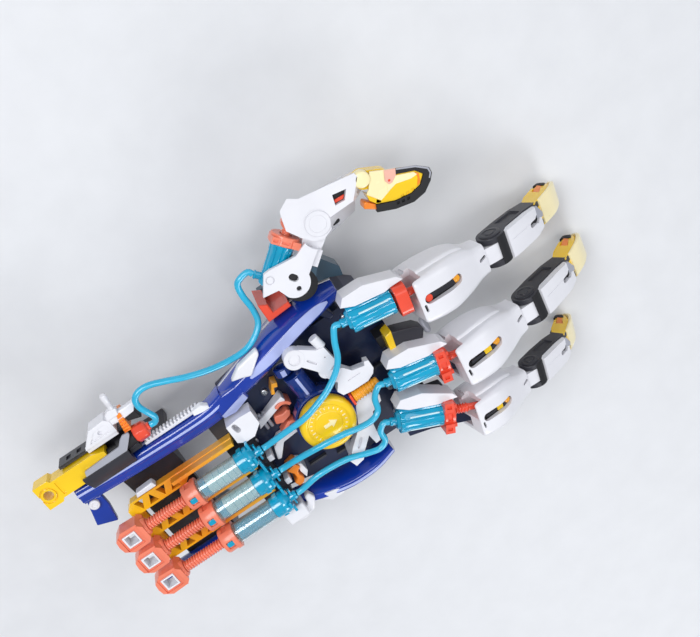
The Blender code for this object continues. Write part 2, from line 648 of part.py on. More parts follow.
def thumb_mount():
    """A plate from the chassis under the shell, with the thumb's pin on it."""
    x, y, z = THUMB_BASE
    plate = prism([(10, 57.4), (44, 57.4), (44, 88)] + arc(x, y, 10, 0, 180, 8) + [(10, 88)], 27, 33)
    post = rod((x, y, 30), (x, y, 45.7), 8.5)
    pin = rod((x, y, 40), (x, y, 62.8), 3.5)
    housing = prism([(24, 79), (36, 78.6), (50, 75.5), (57, 72), (58, 78), (50, 90), (43, 97), (34, 98.5),
                     (26, 96)], 32, 45.7)
    plate = unite(plate, housing, post, pin)
    finish("thumb_mount", plate, SLATE, 0.35)


def thumb_bracket():
    """A bent red clip that stands on the mount plate and steers the hose."""
    outline = [(7.5, 78.5), (23, 79.5), (23, 83), (12.5, 82.5), (12.5, 88), (7.5, 91)]
    finish("thumb_bracket", prism(outline, 33.3, 60), RED, 0.3)


def thumb():
    base = frame_at("thumb_base_axis", THUMB_BASE, THUMB_YAW)
    knuckle = frame_at("thumb_knuckle_axis", (THUMB_LOWER, 0, 0), THUMB_BEND, 0, base)
    tip = frame_at("thumb_tip_axis", (THUMB_UPPER, 0, 0), THUMB_TIP_BEND, 0, knuckle)
    y = THUMB_CYLINDER_Y

    lower = prism(arc(0, 0, 9, 180, 300, 8) + [(22, -6), (22, 6), (-9, 6)], -9.7, 7.6)
    lid = prism(arc(1.2, 4.4, 9, 175, 315, 10) + [(18, -2.2), (24, -2.6), (26, 5), (15.7, 8.3), (4.1, 20.2),
                                                  (1.1, 22.3), (-11.5, 18.6), (-5.4, 11.6)], 7.3, 10)
    arm = prism(capsule((16, 0), (THUMB_LOWER, 0), 5.4, 6.6), -4.2, 4.2)
    lower = unite(lower, lid, arm)
    lower = cut(lower, rod((0, 0, -14), (0, 0, 7.2), 3.8),
                prism(arc(THUMB_LOWER, 0, 9.5, 0, 360, 20)[:-1], 4.2, 14),
                prism(arc(THUMB_LOWER, 0, 9.5, 0, 360, 20)[:-1], -14, -4.2))
    lower = unite(lower, rod((THUMB_LOWER, 0, -7.5), (THUMB_LOWER, 0, 7.5), 2.5))
    finish("thumb_lower_shell", lower, WHITE, 0.28, base)

    barrel = turned([(-8, 4), (-6, 7), (18, 7)], (0, y, 0))
    port = rod((-2.5, y + 3, 0), (-2.5, y + 11, 0), 2.4, 12)
    barrel = cut(unite(barrel, port), rod((4, y, 0), (20, y, 0), ROD_BORE_R))
    finish("thumb_cylinder_barrel", barrel, CYAN, 0.15, base)
    collar = cut(turned([(18.3, 8.4), (24, 8.4)], (0, y, 0)), rod((15, y, 0), (27, y, 0), ROD_BORE_R))
    finish("thumb_cylinder_collar", collar, SALMON, 0.3, base)

    slide = frame_at("thumb_rod_slide", (THUMB_LOWER - 0.9, y - 0.4, 0), 0, 0, base)
    shaft = turned([(-12.0, ROD_R), (-3.6, ROD_R)], (0, 0.4, 0), sides=16)
    eye = prism(capsule((0, -1.0), (0, 1.0), 4.2, 4.2), -2, 2)
    slot = prism(capsule((0, -1.0), (0, 1.0), 2.2, 2.2), -4, 4)
    finish("thumb_cylinder_rod", cut(unite(shaft, eye), slot), SALMON, 0.3, slide)

    top = [(-11.5, 13.5), (-8.8, 19), (-6, 23.8), (1.4, 25.7), (5.6, 21), (20.1, 15), (36, 8.2), (36, 5.5),
           (25.1, -2.4), (10, 0.8), (6, -4.4), (-0.5, -5.4), (-5.5, -2), (-8.5, 4)]
    bottom = [(-11, 12), (-8.5, 14.5), (-6.5, 17.5), (-1, 19.5), (4, 15.8), (18, 10.5), (36, 4.6), (36, -6.5),
              (26, -9), (21.5, -13.2), (4.5, -12.2), (-2.3, -8.7), (-7, -5.5), (-9, 2)]
    upper = tapered(bottom, top, -8.5, 8.5)
    grip_slope = prism([(-6.5, 8.5), (-6.5, 12), (-16, 12), (-16, 1), (-13.6, 1)], 2, 30, "X")
    turn_room = prism([(-20, -16), (10, -16), (10, 7.3), (4, 8.5), (3, 28), (-20, 28)], -4.6, 4.6)
    window = prism([(20, -1), (28, -2.5), (29, 3.5), (21, 4)], 2, 12)
    tip_slot = box((29.5, 50), (-12, 12), (-4.5, 4.5))
    upper = cut(upper, grip_slope, turn_room, window, tip_slot, rod((0, 0, -7.8), (0, 0, 7.8), 2.8),
                rod((THUMB_UPPER, 0, -7.2), (THUMB_UPPER, 0, 7.2), 2.3))
    pin_angle = math.radians(93.5 - THUMB_BEND)
    pin = (15 * math.cos(pin_angle), 15 * math.sin(pin_angle))
    upper = unite(upper, rod((*pin, -6), (*pin, 6), EYE_PIN_R, 12))
    finish("thumb_upper_shell", upper, WHITE, 0.28, knuckle)

    tongue = prism(capsule((0, 0), (10, 0), 5.2, 5.2), -4.2, 4.2)
    top = [(8.5, -7.5), (8.5, 5.5), (29, 5.6), (36.7, 3.6), (38.2, 0.4), (37.2, -4), (33.8, -10.3),
           (27.4, -14.8), (16.5, -17.5), (5.4, -18.1), (5.3, -12)]
    bottom = [(8.5, -7.5), (8.5, -0.5), (28, -1), (33.5, -2.5), (36, -3.6), (36.2, -6), (33.5, -11),
              (27.4, -14.8), (16.5, -17.5), (5.4, -18.1), (5.3, -12)]
    beak = tapered(bottom, top, -7.6, 7.6)
    body = unite(beak, tongue, rod((0, 0, -6.9), (0, 0, 6.9), 2.0, 16))
    pocket = box((12, 30), (-24, -9.0), (-3.3, 3.3))
    finish("thumb_tip", cut(body, pocket), YELLOW, 0.3, tip)


# ---------------------------------------------------------------- hoses

def hoses():
    start = CONTROL_CAP_X + 7 + GAP
    rows = CONTROL_ROWS
    ends = {}
    for name, spec in FINGERS.items():
        px, py, pz = rod_pin_place(name)
        back = 13.0 + spec["stroke_out"] + 40 + GAP
        yaw = math.radians(spec["cylinder_yaw"])
        ends[name] = [(px - (back + extra) * math.cos(yaw), py - (back + extra) * math.sin(yaw), pz)
                      for extra in (3.5, 0.0)]
    z = CONTROL_Z
    hose("index_hose", [(start, rows["index"], z), (start + 4, rows["index"], z), (-22, 21.5, 72.5),
                        (-7, 24.4, 76.5), (5, 28.4, 77.6), (14.4, 32.6, 77.8), (23, 38.6, 77.5),
                        (28.5, 45, 76.8), (32.2, 54, 75.6)] + ends["index"], 30)
    hose("middle_hose", [(start, rows["middle"], z), (start + 4, rows["middle"], z), (-22, 2.4, 73),
                         (-7, 3.6, 77.4), (6, 2.6, 78.3), (16.5, 0.2, 78.2), (24.8, -0.6, 77.4),
                         (30.4, 2.0, 76.2), (33, 9.5, 75.2)] + ends["middle"], 32)
    hose("ring_hose", [(start, rows["ring"], z), (start + 4, rows["ring"], z), (-20, -16.2, 70),
                       (-2, -17.8, 70), (10.5, -22.3, 70), (18.5, -24.4, 70), (23.8, -21.4, 70.4),
                       (24.4, -14.4, 71)] + ends["ring"], 30)
    y, zt = THUMB_CONTROL_Y, THUMB_CONTROL_Z
    hose("thumb_hose", [(-81 + GAP, y, zt), (-77.4, y, zt + 0.2), (-75.4, y + 3.4, 63), (-76.6, 77, 65.2),
                        (-77.8, 83, 66.4), (-76.4, 88, 67), (-72.2, 90.4, 67), (-66, 90.2, 67),
                        (-58, 86.8, 66.4), (-48, 81.6, 65.2), (-36, 76.2, 62.4), (-24, 73, 60), (-13, 72, 58),
                        (-4.5, 74.8, 56.4), (2, 80.5, 55), (3.8, 89, 54), (3.5, 99, 54), (5.5, 107, 55.5)] + thumb_port(), 52)


def thumb_port():
    """The last two points of the thumb's hose, at the port on its cylinder."""
    yaw = math.radians(THUMB_YAW)
    points = []
    for out in (14.5, 11.0 + GAP):
        x, y = -2.5, THUMB_CYLINDER_Y + out
        points.append((THUMB_BASE[0] + x * math.cos(yaw) - y * math.sin(yaw),
                       THUMB_BASE[1] + x * math.sin(yaw) + y * math.cos(yaw), THUMB_BASE[2]))
    return points


for old in list(bpy.data.objects):
    bpy.data.objects.remove(old)
radial_rail()
ulnar_rail()
palm_chassis()
crossbar()
rail_blocks()
knob_seat()
tension_knob()
brace_arms()
control_syringes()
thumb_control()
control_rods()
finger_guides()
arm_cuff()
fingers()
thumb_mount()
thumb_bracket()
thumb()
hoses()
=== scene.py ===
import math
import random
from functools import partial

import bmesh
import bpy
from mathutils import Matrix, Vector


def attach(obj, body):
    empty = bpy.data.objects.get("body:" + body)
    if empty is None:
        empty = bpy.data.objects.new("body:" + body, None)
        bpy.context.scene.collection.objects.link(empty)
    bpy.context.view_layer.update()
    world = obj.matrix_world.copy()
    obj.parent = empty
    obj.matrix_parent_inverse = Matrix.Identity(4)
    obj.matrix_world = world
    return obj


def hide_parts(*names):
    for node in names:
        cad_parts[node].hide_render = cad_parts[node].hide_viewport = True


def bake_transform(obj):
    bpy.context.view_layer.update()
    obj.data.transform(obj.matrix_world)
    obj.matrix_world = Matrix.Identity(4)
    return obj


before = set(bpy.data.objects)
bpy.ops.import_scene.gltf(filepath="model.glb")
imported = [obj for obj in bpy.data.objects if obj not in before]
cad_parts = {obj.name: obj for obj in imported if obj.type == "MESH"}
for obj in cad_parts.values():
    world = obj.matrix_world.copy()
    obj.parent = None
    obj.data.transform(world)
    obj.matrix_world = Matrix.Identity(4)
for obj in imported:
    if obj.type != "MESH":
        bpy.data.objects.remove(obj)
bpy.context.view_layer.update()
random.seed(7)

MM = 0.001
ROUND = 48                # facets round a visible cylinder
SHARP_ANGLE = 42.0        # degrees, from where shading breaks
BEVEL_ANGLE = 38.0        # degrees, from where an edge is rounded

# the same driving dimensions as the CAD, in millimetres
DECK_TOP = 46.0
DECK_BASE = 46.3          # foot of what stands on the deck
RAIL_Z = 55.0
CONTROL_Z = 68.0
CONTROL_CAP_X = -45.0
CONTROL_ROWS = {"index": 18.5, "middle": 0.0, "ring": -19.5}
KNOB_X, KNOB_Y, KNOB_R, KNOB_TOP = 2.5, 10.5, 17.0, 74.0
FINGERS = {
    "index": dict(knuckle=(90.0, 44.5, 61.0), yaw=-9.0, bend=(9.0, 21.0, 10.0), scale=1.0,
                  cylinder_yaw=-9.0, stroke_out=0.0),
    "middle": dict(knuckle=(91.7, -5.3, 61.0), yaw=-5.0, bend=(10.0, 20.0, 14.0), scale=1.0,
                   cylinder_yaw=-12.0, stroke_out=0.0),
    "ring": dict(knuckle=(81.3, -44.4, 59.0), yaw=-12.0, bend=(14.0, 19.0, 20.0), scale=0.88,
                 cylinder_yaw=-26.0, stroke_out=6.0),
}
PROXIMAL, MIDDLE = 51.0, 39.0
EYE_PIN = (-1.0, 8.0, 15.0)
ROD_HEIGHT = 13.8
CYLINDER_R = 8.0
HOSE_R = 1.9
NOZZLE_X = 7.3            # the control's nozzle ahead of its cap
CYLINDER_FRONT = 13.0     # collar face behind the rod's pin, with the rod in
CYLINDER_LENGTH = 40.3    # collar face to the hose nozzle
THUMB_BASE = (34.0, 88.4, 56.0)
THUMB_YAW = 40.3
THUMB_LOWER, THUMB_UPPER = 31.7, 36.8
THUMB_BEND, THUMB_TIP_BEND = -26.5, -40.7
THUMB_CYLINDER_Y = 15.0
THUMB_CONTROL_Y, THUMB_CONTROL_Z = 67.6, 61.4


# ---------------------------------------------------------------- materials

def nodes_of(name):
    material = bpy.data.materials.new(name)
    material.use_nodes = True
    return material, material.node_tree.nodes, material.node_tree.links


def plastic(name, colour, roughness=0.3, coat=0.25, vary=0.06, grain=0.04, grain_scale=900.0,
            transmission=0.0):
    """Moulded plastic: slightly uneven colour and gloss, and a fine moulded grain."""
    material, nodes, links = nodes_of(name)
    shader = nodes["Principled BSDF"]
    place = nodes.new("ShaderNodeTexCoord")
    cloud = nodes.new("ShaderNodeTexNoise")
    cloud.inputs["Scale"].default_value = 45.0
    cloud.inputs["Detail"].default_value = 3.0
    links.new(place.outputs["Object"], cloud.inputs["Vector"])
    ramp = nodes.new("ShaderNodeValToRGB")
    ramp.color_ramp.elements[0].position = 0.3
    ramp.color_ramp.elements[1].position = 0.7
    ramp.color_ramp.elements[0].color = (*[c * (1 - vary) for c in colour], 1)
    ramp.color_ramp.elements[1].color = (*[min(1, c * (1 + vary)) for c in colour], 1)
    links.new(cloud.outputs["Fac"], ramp.inputs["Fac"])
    links.new(ramp.outputs["Color"], shader.inputs["Base Color"])
    gloss = nodes.new("ShaderNodeMapRange")
    gloss.inputs["To Min"].default_value = max(0.02, roughness - 0.05)
    gloss.inputs["To Max"].default_value = roughness + 0.07
    links.new(cloud.outputs["Fac"], gloss.inputs["Value"])
    links.new(gloss.outputs["Result"], shader.inputs["Roughness"])
    fine = nodes.new("ShaderNodeTexNoise")
    fine.inputs["Scale"].default_value = grain_scale
    fine.inputs["Detail"].default_value = 2.0
    links.new(place.outputs["Object"], fine.inputs["Vector"])
    bump = nodes.new("ShaderNodeBump")
    bump.inputs["Strength"].default_value = grain
    bump.inputs["Distance"].default_value = 0.0004
    links.new(fine.outputs["Fac"], bump.inputs["Height"])
    links.new(bump.outputs["Normal"], shader.inputs["Normal"])
    shader.inputs["Coat Weight"].default_value = coat
    shader.inputs["Coat Roughness"].default_value = 0.08
    shader.inputs["Transmission Weight"].default_value = transmission
    return material


WHITE = plastic("white_plastic", (0.78, 0.78, 0.82), 0.3, 0.3, 0.03)
CREAM = plastic("cream_plastic", (0.96, 0.84, 0.48), 0.28, 0.35, 0.04)
BLUE = plastic("blue_plastic", (0.004, 0.035, 0.34), 0.16, 0.9, 0.10, 0.02)
# painted highlight: a light blue for strips on the tops of blue parts, where their gloss catches the light
HIGHLIGHT_BLUE = plastic("highlight_blue_plastic", (0.42, 0.48, 0.80), 0.2, 0.6, 0.10, 0.02)
NAVY = plastic("navy_plastic", (0.004, 0.010, 0.045), 0.3, 0.4, 0.15)
DEEP = plastic("deep_blue_plastic", (0.006, 0.030, 0.20), 0.16, 0.7, 0.12)
GREY = plastic("grey_plastic", (0.022, 0.022, 0.030), 0.40, 0.15, 0.12, 0.12)
PALE_GREY = plastic("pale_grey_plastic", (0.36, 0.37, 0.42), 0.4, 0.1, 0.08)
BLACK = plastic("black_rubber", (0.006, 0.006, 0.008), 0.6, 0.0, 0.2, 0.25, 500.0)
RED = plastic("red_plastic", (0.80, 0.075, 0.035), 0.24, 0.4, 0.08)
SALMON = plastic("salmon_plastic", (0.84, 0.22, 0.13), 0.32, 0.3, 0.07)
PINK = plastic("pink_plastic", (0.85, 0.46, 0.36), 0.3, 0.3, 0.05)
ORANGE = plastic("orange_plastic", (0.86, 0.23, 0.015), 0.32, 0.3, 0.10)
GOLD = plastic("gold_plastic", (0.86, 0.36, 0.015), 0.25, 0.5, 0.10)
YELLOW = plastic("yellow_plastic", (0.90, 0.58, 0.01), 0.22, 0.5, 0.07)
SLATE = plastic("slate_plastic", (0.035, 0.075, 0.11), 0.38, 0.15, 0.15)
CYAN = plastic("cyan_barrel", (0.0, 0.42, 0.68), 0.10, 0.9, 0.10, 0.01, 900.0, 0.2)
WATER = plastic("tinted_water", (0.0, 0.46, 0.72), 0.08, 0.3, 0.05, 0.01, 300.0, 0.1)
# pale water in the control barrels, and also the painted highlight strips on the finger barrels
PALE_WATER_AND_HIGHLIGHT = plastic("pale_water_and_highlight", (0.66, 0.90, 0.95), 0.12, 0.3, 0.05, 0.01, 300.0, 0.1)
CLEAR = plastic("clear_barrel", (0.88, 0.98, 1.0), 0.07, 0.5, 0.03, 0.01, 900.0, 0.88)
HOSE = plastic("hose_plastic", (0.03, 0.50, 0.76), 0.22, 0.5, 0.08, 0.02, 900.0, 0.15)
STEEL = plastic("screw_steel", (0.45, 0.46, 0.48), 0.3, 0.0, 0.1, 0.06)
STEEL.node_tree.nodes["Principled BSDF"].inputs["Metallic"].default_value = 1.0

# materials whose slot has another name than the material itself
SLOTS = {
    "cream_plastic": "yellow_plastic",
    "highlight_blue_plastic": "blue_plastic", "deep_blue_plastic": "blue_plastic",
    "pale_grey_plastic": "grey_plastic", "black_rubber": "grey_plastic", "screw_steel": "grey_plastic",
    "pink_plastic": "salmon_plastic", "gold_plastic": "orange_plastic", "tinted_water": "cyan_barrel",
    "pale_water_and_highlight": "cyan_barrel",
}


# ---------------------------------------------------------------- mesh helpers, in millimetres

def from_bmesh(bm):
    bmesh.ops.recalc_face_normals(bm, faces=bm.faces)
    mesh = bpy.data.meshes.new("work")
    bm.to_mesh(mesh)
    bm.free()
    obj = bpy.data.objects.new("work", mesh)
    bpy.context.scene.collection.objects.link(obj)
    return obj


def prism(outline, low, high, axis="Z"):
    """Extrudes an outline: (x, y) along Z, (x, z) along Y, or (y, z) along X."""
    place = {"Z": lambda a, b, c: (a, b, c), "Y": lambda a, b, c: (a, c, b), "X": lambda a, b,
        c: (c, a, b),}[axis]
    bm = bmesh.new()
    rings = [[bm.verts.new(Vector(place(a, b, c)) * MM) for a, b in outline] for c in (low, high)]
    count = len(outline)
    bm.faces.new(rings[0])
    bm.faces.new(rings[1])
    for i in range(count):
        j = (i + 1) % count
        bm.faces.new((rings[0][i], rings[0][j], rings[1][j], rings[1][i]))
    return from_bmesh(bm)


def box(x, y, z):
    return prism([(x[0], y[0]), (x[1], y[0]), (x[1], y[1]), (x[0], y[1])], *z)


def arc(cx, cy, radius, start, end, steps):
    angles = [math.radians(start + (end - start) * i / steps) for i in range(steps + 1)]
    return [(cx + radius * math.cos(a), cy + radius * math.sin(a)) for a in angles]


def capsule(a, b, radius_a, radius_b, steps=14):
    turn = math.degrees(math.atan2(b[1] - a[1], b[0] - a[0]))
    return (arc(*b, radius_b, turn - 90, turn + 90, steps) + arc(*a, radius_a, turn + 90, turn + 270,
        steps))


def skin(rings):
    """Faces between rings of points, all with the same count, and a face over each end."""
    bm = bmesh.new()
    loops = [[bm.verts.new(Vector(p) * MM) for p in ring] for ring in rings]
    count = len(loops[0])
    bm.faces.new(loops[0])
    bm.faces.new(loops[-1])
    for low, high in zip(loops, loops[1:]):
        for i in range(count):
            j = (i + 1) % count
            bm.faces.new((low[i], low[j], high[j], high[i]))
    return from_bmesh(bm)


def turned(profile, origin=(0, 0, 0), direction=(1, 0, 0), sides=ROUND, flutes=0, depth=0.0):
    """A solid of revolution; flutes cuts that many lengthwise grooves."""
    turn = Vector((0, 0, 1)).rotation_difference(Vector(direction)).to_matrix()
    rings = []
    for along, radius in profile:
        ring = []
        for i in range(sides):
            a = 2 * math.pi * i / sides
            r = radius - depth * max(0.0, math.cos(flutes * a)) ** 4 if flutes else radius
            ring.append(turn @ Vector((r * math.cos(a), r * math.sin(a), along)) + Vector(origin))
        rings.append(ring)
    return skin(rings)


def rod(start, end, radius, sides=ROUND):
    along = Vector(end) - Vector(start)
    return turned([(0, radius), (along.length, radius)], start, along, sides)


def rounded(y, z, radius, steps=7):
    corners = ((y[1], z[0], -90), (y[1], z[1], 0), (y[0], z[1], 90), (y[0], z[0], 180))
    points = []
    for cy, cz, start in corners:
        inward_y = -radius if cy == y[1] else radius
        inward_z = -radius if cz == z[1] else radius
        points += arc(cy + inward_y, cz + inward_z, radius, start, start + 90, steps)
    return points


def between(rows, steps):
    """Rows of numbers, with Catmull-Rom rows put in between them."""
    ends = [rows[0]] + list(rows) + [rows[-1]]
    out = []
    for before, start, end, after in zip(ends, ends[1:], ends[2:], ends[3:]):
        for step in range(steps):
            t = step / steps
            out.append([0.5 * (2 * b + (c - a) * t + (2 * a - 5 * b + 4 * c - d) * t * t + (3 * b - a - 3 *
                c + d) * t ** 3) for a, b, c, d in zip(before, start, end, after)])
    out.append(list(rows[-1]))
    return out


def loft(sections, fine=4):
    """Sections are (x, (y0, y1), (z0, z1), corner radius) along X, drawn smoothly."""
    rows = between([[x, *y, *z, r] for x, y, z, r in sections], fine)
    return skin([[(x, a, b) for a, b in rounded((y0, y1), (z0, z1), r)] for x, y0, y1, z0, z1, r in rows])


def swept(stations, fine=5, profile=None):
    """A rail: stations are (x, y, z, half width, half height, corner radius)."""
    rows = between([list(s) for s in stations], fine)
    rings = []
    for index, (x, y, z, half_width, half_height, radius) in enumerate(rows):
        before = rows[max(index - 1, 0)]
        after = rows[min(index + 1, len(rows) - 1)]
        along = Vector((after[0] - before[0], after[1] - before[1], 0)).normalized()
        side = Vector((-along.y, along.x, 0))
        if profile:
            outline = [(a * half_width, b * half_height) for a, b in profile]
        else:
            outline = rounded((-half_width, half_width), (-half_height, half_height), radius)
        rings.append([Vector((x, y, z + b)) + side * a for a, b in outline])
    return skin(rings)


def combine(target, others, operation):
    for other in others:
        step = target.modifiers.new(operation, "BOOLEAN")
        step.operation = operation
        step.solver = "EXACT"
        step.object = other
    bpy.context.view_layer.update()
    evaluated = target.evaluated_get(bpy.context.evaluated_depsgraph_get())
    target.data = bpy.data.meshes.new_from_object(evaluated)
    target.modifiers.clear()
    for other in others:
        bpy.data.objects.remove(other)
    return target


def cut(target, *cutters):
    return combine(target, cutters, "DIFFERENCE")


def unite(target, *others):
    return combine(target, others, "UNION")


def gather(*solids):
    """One object of several separate solids."""
    bm = bmesh.new()
    for solid in solids:
        bm.from_mesh(solid.data)
        bpy.data.objects.remove(solid)
    return from_bmesh(bm)


def soften(obj, width, segments, angle):
    """Welds and rounds the edges that are sharper than the angle."""
    weld = obj.modifiers.new("weld", "WELD")
    weld.merge_threshold = 0.00001
    bevel = obj.modifiers.new("bevel", "BEVEL")
    bevel.width = width * MM
    bevel.segments = segments
    bevel.limit_method = "ANGLE"
    bevel.angle_limit = math.radians(angle)
    bevel.harden_normals = False
    bevel.use_clamp_overlap = True


def piece(name, obj, material, width=0.35, body="root", place=None, replaced=(), segments=3, slot=None):
    """Names a finished piece and gives it its finish and its body; its material slot is worked out but not
    kept.
    """
    obj.name = name
    if place is not None:
        obj.data.transform(place)
    obj.data.materials.clear()
    obj.data.materials.append(material)
    obj.data.shade_smooth()
    obj.data.set_sharp_from_angle(angle=math.radians(SHARP_ANGLE))
    if width:
        soften(obj, width, segments, BEVEL_ANGLE)
    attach(obj, body)
    if replaced:
        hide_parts(*replaced)
    if slot is None:
        made_as = material.name.partition(".")[0]  # the frame's own material may hold the plain name
        slot = SLOTS.get(made_as, made_as)
    return obj


def keep(node, material, width=0.4, segments=3, angle=35):
    """A CAD node that stays, with rounded edges and its real finish."""
    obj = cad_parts[node]
    obj.data.materials.clear()
    obj.data.materials.append(material)
    soften(obj, width, segments, angle)
    return obj


def turn_z(origin, yaw):
    return Matrix.Translation(Vector(origin) * MM) @ Matrix.Rotation(math.radians(yaw), 4, "Z")


def pitch_y(length, pitch):
    return Matrix.Translation((length * MM, 0, 0)) @ Matrix.Rotation(math.radians(pitch), 4, "Y")


def screw_head(name, centre, direction, radius, body):
    """A domed cross-head screw."""
    head = turned([(-1.0, radius), (0.1, radius), (0.45, radius * 0.85), (0.6, radius * 0.5)], (0, 0, 0),
        (0, 0, 1), 28)
    cross = [box((-radius * 0.55, radius * 0.55), (-0.22, 0.22), (0.1, 2)), box((-0.22, 0.22),
        (-radius * 0.55, radius * 0.55), (0.1, 2))]
    head = cut(head, *cross)
    turn = Vector((0, 0, 1)).rotation_difference(Vector(direction)).to_matrix().to_4x4()
    head.data.transform(Matrix.Translation(Vector(centre) * MM) @ turn)
    return piece(name, head, STEEL, 0, body=body, slot="")


# ---------------------------------------------------------------- camera and stage

CAMERA_TILT, CAMERA_ROLL = 25.0, 33.6                 # degrees from straight down, and round the view
CAMERA_DISTANCE = 0.56                                # metres
CAMERA_TARGET = (0.0464, 0.0421, 0.0363)
CAMERA_LENS, CAMERA_SENSOR = 48.0, 36.0               # millimetres

def make_camera():
    """Looks down over the thumb side of the hand, rolled so the fingers point up to the right."""
    tilt, roll = math.radians(CAMERA_TILT), math.radians(CAMERA_ROLL)
    towards = Vector((0, math.sin(tilt), math.cos(tilt)))
    level = Vector((0, math.cos(tilt), -math.sin(tilt)))
    right = Vector((1, 0, 0)) * math.cos(roll) - level * math.sin(roll)
    up = Vector((1, 0, 0)) * math.sin(roll) + level * math.cos(roll)
    data = bpy.data.cameras.new("camera")
    data.lens = CAMERA_LENS
    data.sensor_width = CAMERA_SENSOR
    camera = bpy.data.objects.new("camera", data)
    bpy.context.scene.collection.objects.link(camera)
    turn = Matrix((right, up, towards)).transposed().to_4x4()
    camera.matrix_world = Matrix.Translation(Vector(CAMERA_TARGET) + towards * CAMERA_DISTANCE) @ turn
    bpy.context.scene.camera = camera
    return camera


def make_stage():
    """A pale floor, a soft sky and four area lights."""
    floor = prism([(-3000, -3000), (3000, -3000), (3000, 3000), (-3000, 3000)], -6, -0.2)
    floor.name = "floor"
    material = plastic("floor_paint", (0.72, 0.73, 0.75), 0.6, 0.0, 0.02, 0.02, 60.0)
    floor.data.materials.append(material)
    world = bpy.data.worlds.new("studio")
    bpy.context.scene.world = world
    world.use_nodes = True
    world.node_tree.nodes["Background"].inputs["Color"].default_value = (0.85, 0.9, 1.0, 1)
    world.node_tree.nodes["Background"].inputs["Strength"].default_value = 0.35
    bpy.context.scene.view_settings.view_transform = "Standard"
    centre = Vector((0.03, 0.03, 0.04))
    lights = (("key", (-0.55, 0.75, 1.15), 0.7, 11.0), ("fill", (0.9, 0.35, 0.9), 0.9, 4.0),
        ("rim", (0.1, -1.0, 0.75), 0.5, 5.0), ("top", (0.0, 0.1, 1.5), 0.4, 4.0))
    for name, place, size, power in lights:
        data = bpy.data.lights.new(name, "AREA")
        data.size = size
        data.energy = power
        light = bpy.data.objects.new(name, data)
        bpy.context.scene.collection.objects.link(light)
        light.location = Vector(place) + centre
        light.rotation_mode = "QUATERNION"
        light.rotation_quaternion = (-Vector(place)).to_track_quat("-Z", "Y")


# ---------------------------------------------------------------- hoses

def rod_pin_place(name):
    """Where the rod's pin stands at rest, with the rod's axis height."""
    spec = FINGERS[name]
    s = spec["scale"]
    bend = math.radians(spec["bend"][0])
    yaw = math.radians(spec["yaw"])
    x, y, z = (value * s for value in EYE_PIN)
    ahead = x * math.cos(bend) + z * math.sin(bend)
    kx, ky, kz = spec["knuckle"]
    return (kx + ahead * math.cos(yaw) - y * math.sin(yaw), ky + ahead * math.sin(yaw) + y * math.cos(yaw),
        kz + ROD_HEIGHT * s)


def hose(name, route, count):
    """A hose along the same route as in the CAD, its points spread evenly along its real length."""
    fine = [Vector(p) for p in between(route, 16)]
    lengths = [0.0]
    for a, b in zip(fine, fine[1:]):
        lengths.append(lengths[-1] + (b - a).length)
    points = []
    index = 0
    for i in range(count):
        wanted = lengths[-1] * i / (count - 1)
        while index < len(lengths) - 2 and lengths[index + 1] < wanted:
            index += 1
        share = (wanted - lengths[index]) / (lengths[index + 1] - lengths[index])
        points.append(fine[index].lerp(fine[index + 1], share) * MM)
    curve = bpy.data.curves.new(name, "CURVE")
    curve.dimensions = "3D"
    curve.bevel_depth = HOSE_R * MM
    curve.bevel_resolution = 6
    curve.use_fill_caps = True
    spline = curve.splines.new("POLY")
    spline.points.add(count - 1)
    for slot, point in zip(spline.points, points):
        slot.co = (*point, 1.0)
        slot.radius = 1.0
    spline.use_smooth = True
    obj = bpy.data.objects.new(f"{name}_tube", curve)
    bpy.context.scene.collection.objects.link(obj)
    curve.materials.append(HOSE)
    if name == "thumb_hose":
        obj = as_mesh(obj)
        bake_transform(obj)
    else:
        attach(obj, "root")
    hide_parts(name)


def as_mesh(obj):
    """The curve's own tube as a mesh object of the same name."""
    bpy.context.view_layer.update()
    evaluated = obj.evaluated_get(bpy.context.evaluated_depsgraph_get())
    mesh = bpy.data.meshes.new_from_object(evaluated)
    name = obj.name
    bpy.data.objects.remove(obj)
    tube = bpy.data.objects.new(name, mesh)
    bpy.context.scene.collection.objects.link(tube)
    return tube


